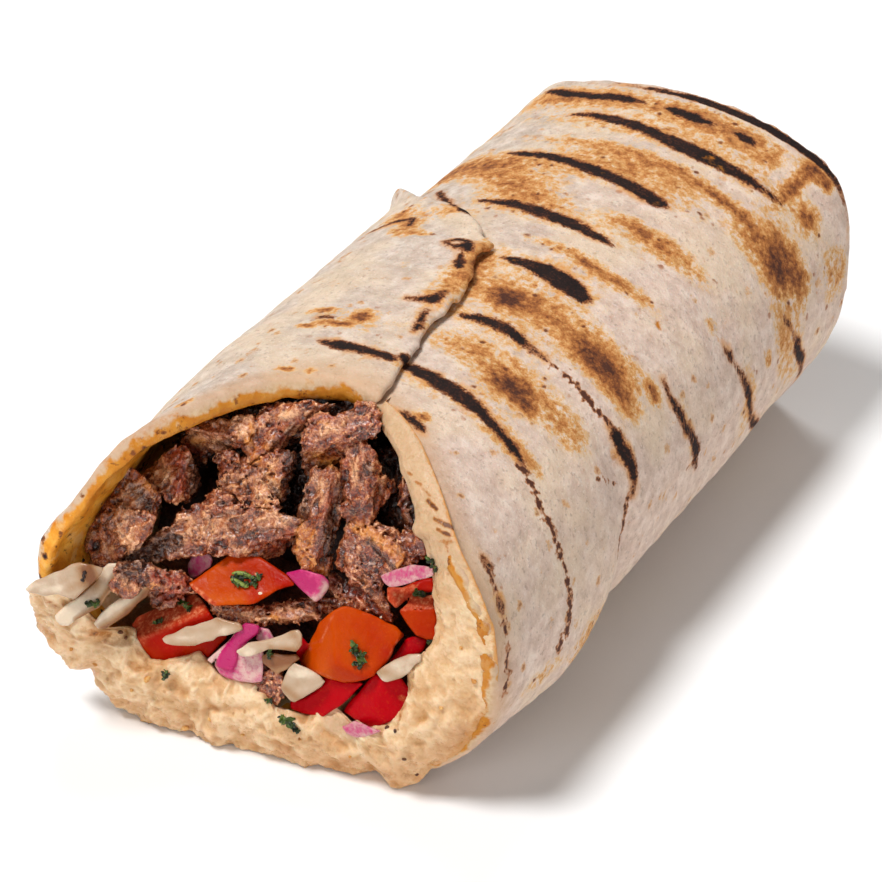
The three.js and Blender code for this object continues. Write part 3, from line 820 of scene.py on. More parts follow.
# Clouds of toasting: (y, angle, half length along y, half width in degrees, strength)
TOAST_CLOUDS = [
    (69, 112, 3.2, 22, 0.66), (68.5, 80, 3.2, 9, 0.7), (68.5, 66, 3.0, 6, 0.75), (68, 56, 3.4, 3, 0.5),
    (66, 45, 5.5, 2.6, 0.75), (72, 44, 2.0, 5, 0.7), (72.3, 38, 1.4, 2.2, 0.9), (63.5, 34, 2.4, 5, 0.7),
    (60, 80, 4.0, 40, 0.34), (51, 78, 1.6, 34, 0.42), (50.2, 55, 1.2, 9, 0.6), (47, 82, 4.0, 18, 0.45),
    (49, 29, 4.2, 8, 0.95), (48, 43, 3.2, 7, 0.5), (53.5, 30, 2.5, 12, 0.55), (52.8, 18, 2.6, 5, 0.55),
    (45, 8, 3.5, 12, 0.42), (42, 92, 3.0, 28, 0.32), (40, 134, 5.0, 12, 0.62), (38, 116, 4.2, 9, 0.55),
    (33, 103, 4.6, 10, 0.48), (29, 96, 2.0, 8, 0.4), (30.2, 60, 2.8, 15, 0.52), (31, 70, 1.6, 6, 0.4),
    (24.8, 32, 1.6, 4, 0.3), (24.6, 90, 3.0, 20, 0.3), (17, 80, 1.1, 8, 0.42),
    (15.6, 62, 1.6, 12, 0.55), (15.5, 72, 1.0, 3, 0.7), (9, 76, 4.2, 14, 0.32),
    (2.2, 31, 1.4, 4.5, 0.65), (-1.2, 81, 2.4, 4.2, 1.0), (-0.5, 76, 4.2, 12, 0.5),
    (-3.4, 49, 2.4, 7, 0.95), (-1.5, 52, 4.0, 16, 0.55), (-5, 37, 2.2, 7, 0.6),
    (-20.6, 62, 2.4, 6, 0.92), (-19, 62, 4.6, 11, 0.48), (-17, 79, 3.2, 8, 0.4),
    (-19.5, 42, 3.6, 9, 0.38), (-22.5, 56, 1.2, 4, 0.7), (-9.5, 76, 2.4, 14, 0.3),
    (-29, 74, 3.0, 22, 0.26), (-31.6, 50, 1.6, 9, 0.62), (-37.4, 73, 1.0, 2, 0.85),
    (-20.2, 101, 1.8, 2.2, 0.85), (-19.3, 113, 0.8, 4, 0.6), (-23.6, 105, 0.7, 4, 0.72),
    (-25, 112, 0.7, 3, 0.72), (-21.5, 104, 3.6, 12, 0.22), (-50, 124, 1.4, 2.6, 0.62),
    (-38.8, 105, 0.7, 2.2, 0.72), (-38.3, 98.6, 0.8, 1, 0.7), (12, 118, 3.4, 4, 0.55),
    (17, 126, 3.0, 5, 0.5), (18, 110, 3.0, 5, 0.35), (9, 112, 1.0, 4, 0.5), (-4, 91, 8.0, 2.4, 0.42),
    (4, 92, 5.0, 2.0, 0.5), (-2, 105, 2.0, 2.0, 0.2), (30, -2, 3.0, 16, 0.25), (50, -6, 3.0, 14, 0.25),
    (37.7, 6, 1.0, 2, 0.65), (8, 10, 2.2, 14, 0.22), (-11, 24, 2.0, 9, 0.25), (-28, -22, 7.0, 9, 0.4),
    (-45, -14, 6.0, 5, 0.25), (-54, 20, 1.8, 6, 0.3), (66, 10, 5.0, 9, 0.35), (60, 160, 5.0, 16, 0.5),
    (40, 175, 4.0, 22, 0.45), (10, 165, 3.0, 16, 0.4), (-24, 160, 3.0, 14, 0.45),
    (-45, 172, 3.0, 12, 0.35), (55, 215, 5.0, 22, 0.4), (20, 225, 4.0, 20, 0.4),
    (-20, 220, 4.0, 18, 0.35),
]

# Singed places on the rim, sighted on the mouth's plane: (across, up) twice, radius, strength
RIM_SINGE = [
    (-44.8, -1.2, -44.6, -1.4, 0.5, 1.0), (-44.7, -2.6, -44.5, -2.9, 0.45, 1.0),
    (-43.7, -5.5, -43.5, -5.8, 0.45, 1.0), (-44.2, -9.1, -43.9, -9.4, 0.5, 0.9),
    (-43.7, 1.4, -41.0, 3.7, 0.3, 0.9), (-41.6, -1.4, -41.4, -1.6, 0.5, 0.7),
    (-40.0, -1.3, -39.8, -1.5, 0.4, 0.6), (-38.3, 2.0, -38.2, 1.9, 0.3, 0.8),
    (-38.9, 5.6, -38.7, 5.5, 0.35, 0.7), (-32.2, 13.3, -32.0, 13.3, 0.4, 0.7),
    (-31.2, 14.3, -30.8, 14.5, 0.45, 0.7), (-29.3, 15.5, -29.0, 15.7, 0.5, 0.7),
    (-37.0, -5.2, -36.8, -5.2, 0.4, 0.9), (-17.8, 23.0, -17.3, 23.2, 0.4, 1.0),
    (-15.2, 23.6, -14.8, 23.7, 0.3, 1.0), (-26.4, 18.6, -25.8, 19.0, 0.3, 0.7),
    (-22.0, 21.0, -21.6, 21.2, 0.3, 0.6), (-10.6, 26.6, -10.2, 26.8, 0.3, 0.8),
    (-6.1, 28.2, -5.6, 28.4, 0.45, 1.0), (-3.7, 28.6, -3.3, 28.7, 0.4, 1.0),
    (0.8, 29.2, 1.6, 29.4, 0.3, 0.8), (-35.0, 9.6, -34.8, 9.8, 0.3, 0.6),
    (-42.4, -6.6, -42.0, -7.0, 0.5, 0.4), (-40.0, -8.0, -39.6, -8.4, 0.5, 0.4),
]

SCORCH_REACH = 3.0  # beyond this distance from a mark nothing is scorched


def run_field(y, around, runs):
    """The most that each point lies inside any of the runs, in millimetres; negative outside."""
    field = np.full(np.shape(y), -SCORCH_REACH)
    for run in runs:
        places = [(place_y, float(girth(angle)), width / 2) for place_y, angle, width in run]
        for start, end in zip(places, places[1:]):
            away, share = line_away(y, around, start, end)
            field = np.maximum(field, mix(start[2], end[2], share) - away)
    return field


def cloud_field(y, angle):
    total = np.zeros(np.shape(y))
    for place_y, place_angle, half_length, half_width, strength in TOAST_CLOUDS:
        near = bell(y, place_y, half_length * 1.15) * bell(angle, place_angle, half_width * 1.15)
        total = 1 - (1 - total) * (1 - strength * near)
    return total


def build_bread(material):
    rows, merged, facts, columns = bread_grid()
    last_angles = facts[-1][:, 1]
    tail = tail_rows(rows[-1], last_angles)
    region_of_tail = np.linspace(1, 2, len(tail) + 1)[1:]
    for row, region in zip(tail, region_of_tail):
        rows.append(row)
        merged.append(np.arange(len(row)))
        facts.append(row_facts(row[:, 1], last_angles, region))
    grid = np.stack(rows)
    known = np.stack(facts)
    first_pole = np.array([0, INSIDE_END, TAIL_HALF_HEIGHT]) + ROLL_ORIGIN
    last_pole = tail[-1].mean(axis=0)
    points, faces, uv = loft(grid, first_pole, last_pole, np.stack(merged))
    known = np.concatenate([known.reshape(-1, 3), [known[0, 0], known[-1, 0]]])
    y, angle, region = known.T
    angle = np.mod(angle + 90, 360) - 90
    around = girth(angle)
    outside = (region >= 0.8) & (region <= 1.0)
    offset, _, high, fold = columns
    tucked = (fold > 0) & (high <= 0.2) | (offset > 360 + SHEET_EDGE)
    bare = outside & ~np.concatenate([np.tile(tucked, len(grid)), [False, False]])
    char = np.where(bare, run_field(y, around, GRILL_MARKS), -SCORCH_REACH)
    trail = np.where(bare, run_field(y, around, DOTTED_TRAILS), -SCORCH_REACH)
    toast = np.where(outside, cloud_field(y, angle), tail_toast(points) * smooth(region, 1.0, 1.2))
    from_crest = np.abs(y - tail_edge(angle))
    crest = ring_bell(angle, 65, 52) * smooth(region, 0.9, 1.0) * (1 - smooth(region, 1.1, 1.22))
    char = np.maximum(char, mix(-SCORCH_REACH, 1.4, crest * smooth(-from_crest, -2.6, -0.4)))
    rim_near = (1 - smooth(y - bread_rim(angle), 1.0, 9.0)) * (region < 1.01)
    singe = strokes_field(sight_spots(points), RIM_SINGE) * (region < 1.01) * (y < bread_rim(angle) + 9)
    floats = {
        "char": char,
        "trail": trail,
        "toast": toast,
        "region": region,
        "rim": rim_near,
        "angle": angle,
        "singe": singe,
    }
    points, faces, floats = drop_unused(points, faces, floats)
    piece = make_piece("bread", points, faces, material, floats, uv)
    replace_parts(piece, "flatbread")


# ---- Hummus ----

HUMMUS_FROM, HUMMUS_TO = 172.0, 440.0
HUMMUS_COLUMNS = 430
HUMMUS_FACE_ROWS = 44
HUMMUS_SWEEP = (200.8, 420.0)  # degrees about the hub, as the camera sees it
HUMMUS_HUB = np.array([-8.0, 2.0])

# Where the hummus ends inside the mouth: (across, up, out)
HUMMUS_INNER = [
    (-40, -9.5, 13.2), (-39.2, -10.4, 12.8), (-37, -11.4, 11.5), (-34.4, -13, 9), (-31, -14.5, 6),
    (-28, -13.5, 4), (-26.5, -13.5, 3), (-25, -15.5, 2.8), (-22.5, -17.9, 3.2), (-20, -17.2, 3.2),
    (-17, -15.9, 2.8), (-14.5, -14.7, 2.4), (-12.8, -15.8, 2.4), (-10.5, -17.3, 2.6), (-7, -17.6, 2.6),
    (-3, -17.4, 2.2), (-1.2, -18.3, 1.8), (-0.2, -20.2, 1.5), (2.2, -20, 1.5), (5, -19.9, 1.5),
    (7.6, -18.8, 1.4), (9.4, -17, 1.2), (12.4, -17.8, 1.4), (14.6, -20, 1.6), (16.6, -19.4, 2.2),
    (18, -18.1, 2.8), (19.4, -17.2, 3.2), (19.6, -15.9, 3.6), (20.4, -14, 4.2), (21.6, -12.8, 4.6),
    (21, -11.3, 5), (20.4, -9.5, 5), (21, -7.5, 5.5), (22.6, -5.5, 6), (24, -3.2, 7), (23.6, -1, 8),
    (23.4, 1, 8.5), (22.4, 3.5, 9.5), (21.8, 6, 10), (21.3, 8, 10), (20, 10, 10.5), (19.2, 12, 10.5),
    (17.7, 12.6, 10.5), (17.1, 13.6, 10), (17.4, 15, 9.5), (16.7, 17, 8.5), (16, 18.3, 8),
    (14.9, 20.3, 6.5), (13.6, 21.6, 5.5), (13.3, 22.7, 5), (12.7, 24, 4), (11.5, 25.5, 2.5),
    (10, 27, 0.5), (9, 28.6, -1), (8.4, 30, -2),
]
# Its outline over the bread's lower lip: (across, up)
HUMMUS_OUTER = [
    (-45.3, -13.3), (-43.5, -16.2), (-42, -17.8), (-40.5, -19.2), (-39, -20.2), (-37.5, -20.7),
    (-35.8, -22.5), (-32.5, -21.6), (-30, -23.5), (-28.5, -25), (-26.5, -26), (-23, -26.8), (-22.6, -28.2),
    (-21.5, -28.8), (-18.8, -28), (-16, -28.2), (-12, -27.7), (-10.9, -28.9), (-9.8, -29.3), (-7, -28),
    (0, -28.2), (8, -27.2), (10, -27.5), (14, -27.2), (18, -25.6), (21, -27.1), (25, -24.8), (26.5, -22.5),
    (30, -19), (32.2, -15.8), (33, -13),
]
# Creases sunk into the hummus; the material also paints them darker, painted shade
HUMMUS_CREASES = [
    (-12, -23.2, -6, -21.6, 0.7, 0.9), (8, -21.6, 12.4, -23.2, 0.6, 0.8), (-26, -19, -21, -21, 0.8, 0.6),
    (-34, -17, -31, -15.6, 0.9, 0.7), (16, -22.5, 20, -22, 0.6, 0.5), (-3, -24.5, 2, -25.4, 0.7, 0.5),
    (26, -16, 28, -12, 0.8, 0.5), (-39, -16, -36.5, -18, 0.7, 0.5), (24, -7, 26, -11, 0.7, 0.4),
    (-17, -24.6, -14, -26, 0.7, 0.6),
]
HUMMUS_BROWNED = [
    (13.4, 22.4, 14.6, 21.9, 0.6, 0.35), (15.0, 21.7, 15.6, 21.5, 0.45, 0.45),
    (16.4, 20.6, 17.1, 20.4, 0.45, 0.55), (17.5, 19.7, 18.8, 19.1, 0.45, 0.5),
    (18.6, 18.1, 20.2, 17.2, 0.5, 0.85), (20.2, 15.7, 22.3, 15.2, 0.55, 0.7),
    (22.4, 15.2, 23.9, 14.9, 0.4, 1.0), (21, 14.2, 22.4, 13.9, 0.45, 0.6),
    (22.5, 13.9, 23.1, 13.8, 0.35, 1.0), (22.4, 12.7, 23.6, 12.8, 0.6, 0.55),
    (22.9, 12, 23.3, 11.2, 0.5, 0.45), (20.6, 11.9, 21.7, 12.4, 0.4, 0.35),
    (9.7, 27.6, 11, 26.5, 0.6, 0.4), (-33.5, -16, -30.5, -15.4, 1.0, 0.6),
    (-42.6, -12.6, -40.2, -13.4, 0.8, 0.5), (0, -19.6, 1.4, -21, 0.7, 0.4),
    (-25.6, -15.6, -24.4, -17.2, 0.7, 0.4), (22.6, -4.5, 24.4, -2, 0.6, 0.4),
    (20.2, -15.5, 20.4, -18, 0.6, 0.5),
]
# Painted shade on the lower outer edge of the hummus, where it turns under
HUMMUS_LOWER_EDGE_SHADE = [
    (22, -24, 30, -18.5, 3.2, 0.9), (30, -18, 33, -12, 2.4, 0.8), (14, -25, 22, -25.4, 2.0, 0.6),
    (-40, -17.5, -33, -21.5, 1.8, 0.4), (-20, -26.5, -8, -27.4, 1.6, 0.5), (2, -26.4, 12, -26.4, 1.6, 0.6),
]
HUMMUS_SMOOTH = (9.4, -20, 12.4, -20.2, 2.0, 1.0)
HUMMUS_RUN = (FILLING_END, 10.0, -20.0)  # where along the roll its hidden rows lie
HUMMUS_LEAST = 1.2  # the least width of its front
# Rows that turn under at its outer edge and at its inner edge: (share of its width, lift)
HUMMUS_TURNED_OUT = ((0.03, -3.0), (0.01, -1.8), (0.0, -0.9))
HUMMUS_TURNED_IN = ((1.03, -1.4), (1.02, -2.6), (1.0, -4.0), (0.97, -6.0), (0.93, -9.0))
RIM_SAMPLES = 281
HUMMUS_HIDDEN_TURN = 300  # what its ends inside the roll count as
FLOOR_CLEARANCE = 0.25


def hummus_thickness(angle):
    share = np.clip((angle - HUMMUS_FROM) / (HUMMUS_TO - HUMMUS_FROM), 0, 1)
    return 1.2 + 2.3 * np.sin(np.pi * share)


def sweep(places):
    """The angle and the reach of places about the hub, the angle from 120 to 480 degrees."""
    away = places[..., :2] - HUMMUS_HUB
    turn = np.degrees(np.arctan2(away[..., 1], away[..., 0]))
    return np.mod(turn - 120, 360) + 120, np.hypot(away[..., 0], away[..., 1])


def outline_reach(turn, places):
    """How far from the hub an outline of places is at each angle, and their other numbers."""
    places = np.array(places, float)
    turns, reach = sweep(places)
    order = np.argsort(turns)
    table = np.concatenate([reach[:, None], places[:, 2:]], axis=1)[order]
    return [np.interp(turn, turns[order], column) for column in table.T]


def hummus_relief(points, rough):
    stirred = points + np.stack([1.5 * noise(points, 4.5, 106 + k, 2) for k in range(3)], -1)
    ridges = 1 - 2.4 * np.abs(noise(stirred, 3.6, 101, 2))
    lumps = noise(stirred, 2.0, 102, 2)
    curds = 1 - 2.6 * np.abs(noise(stirred, 1.5, 103, 2))
    return rough * (0.55 * ridges + 0.3 * lumps + 0.3 * curds)


def build_hummus(material):
    turn = np.linspace(*HUMMUS_SWEEP, HUMMUS_COLUMNS)
    angles = np.linspace(HUMMUS_FROM - 8, HUMMUS_TO + 4, RIM_SAMPLES)
    on_rim = smooth(angles, 338, 356)
    level = mix(0.5, 0.1, on_rim)
    rim_spots = sight_spots(roll_point(bread_rim(angles) + mix(1.0, 1.9, on_rim), angles, level))
    rim_turn, rim_reach = sweep(rim_spots)
    order = np.argsort(rim_turn)
    angle = np.interp(turn, rim_turn[order], angles[order])
    rim_out = np.interp(turn, rim_turn[order], rim_spots[order, 2])
    outer = np.interp(turn, rim_turn[order], rim_reach[order])
    lip = outline_reach(turn, HUMMUS_OUTER)[0]
    on_rim = smooth(turn, 338, 345)
    outer = mix(lip, outer, on_rim)
    inner, inner_out = outline_reach(turn, HUMMUS_INNER)
    ease = np.hanning(7) / np.hanning(7).sum()
    inner = np.convolve(np.pad(inner, 3, mode="edge"), ease, "valid")
    outer = np.maximum(outer, inner + HUMMUS_LEAST)
    spokes = np.stack([np.cos(np.radians(turn)), np.sin(np.radians(turn))], -1)

    def spot_row(share, lift):
        reach = mix(outer, inner, share)
        flat = HUMMUS_HUB + reach[:, None] * spokes
        out = mix(rim_out + 0.9, inner_out, np.clip(share, 0, 1)) + lift
        return sight_point(np.concatenate([flat, out[:, None]], axis=1))

    def roll_row(y, depth):
        return roll_point(y + 0 * angle, angle, -depth + 0 * angle)

    bulge = (1.3 + 1.3 * smooth(turn, 205, 225)) * (1 - 0.75 * smooth(turn, 330, 352))
    layer = WALL + 2 * GAP
    lip_y = bread_rim(angle)
    ring = [roll_row(y, layer) for y in HUMMUS_RUN]
    ring.append(roll_row(lip_y + 8, layer))
    ring.append(roll_row(lip_y + 2.5, 0.4 * WALL))
    shares = [-1.0] * len(ring)
    for share, lift in HUMMUS_TURNED_OUT:
        ring.append(spot_row(share, lift))
        shares.append(0.0)
    for share in np.linspace(0, 1, HUMMUS_FACE_ROWS):
        ring.append(spot_row(share, bulge * np.sin(np.pi * share**0.8) - 0.6 * smooth(share, 0.85, 1)))
        shares.append(share)
    for share, lift in HUMMUS_TURNED_IN:
        ring.append(spot_row(share, lift))
        shares.append(1.0 - 0.1 * lift)
    inner_depth = layer + hummus_thickness(angle)
    ring += [roll_row(y, inner_depth) for y in HUMMUS_RUN[::-1]]
    shares += [2.0] * len(HUMMUS_RUN)
    rows = np.stack(ring, axis=1)
    shares = np.broadcast_to(np.array(shares), rows.shape[:2])
    spots = sight_spots(rows)
    turns = np.broadcast_to(turn[:, None], shares.shape)
    flat_spots = spots.reshape(-1, 3)
    crease = strokes_field(flat_spots, HUMMUS_CREASES).reshape(shares.shape)
    calm = strokes_field(flat_spots, [HUMMUS_SMOOTH]).reshape(shares.shape)
    rough = (1 - 0.9 * calm) * mix(1.0, 0.3, smooth(turns, 352, 385))
    rough = rough * mix(1.0, 0.75, smooth(turns, 325, 345))
    relief = hummus_relief(rows, rough)
    folds = rough * 1.1 * noise(rows, 5.6, 104, 2) - 0.7 * crease
    shown = smooth(shares, -0.9, 0) * (1 - smooth(shares, 1.3, 1.8))
    radial = spokes[:, :1] * MOUTH_ACROSS + spokes[:, 1:] * MOUTH_UP
    sideways = 0.75 * (1 - 2 * np.clip(shares, 0, 1))
    sideways = sideways * (1 - smooth(turns, 335, 345) * (shares < 0.5))
    push = unit_rows(MOUTH_OUT + sideways[..., None] * radial[:, None, :])
    rows = rows + push * (shown * (folds + 0.85 * relief))[..., None]
    rows[..., 2] = np.maximum(rows[..., 2], FLOOR_CLEARANCE)
    points, faces, uv = capped(rows)
    floats = {
        "relief": relief,
        "crease": crease,
        "browned": strokes_field(flat_spots, HUMMUS_BROWNED),
        "lower_edge_shade": strokes_field(flat_spots, HUMMUS_LOWER_EDGE_SHADE),
        "smooth_part": 1 - rough,
        "edge": np.clip(shares, 0, 2),
        "turn": turns,
    }
    floats = {key: np.append(values, [0.0, 0.0]) for key, values in floats.items()}
    floats["turn"][-2:] = HUMMUS_HIDDEN_TURN
    piece = make_piece("hummus_spread", points, faces, material, floats, uv)
    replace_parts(piece, "hummus")


# ---- Fillings: what shows at the mouth ----

# Every chunk is (outline, faces, thickness): the outline is (across, up) on the mouth's plane
# as the camera sees it, and a face is (across, up, out, slope across, slope up).

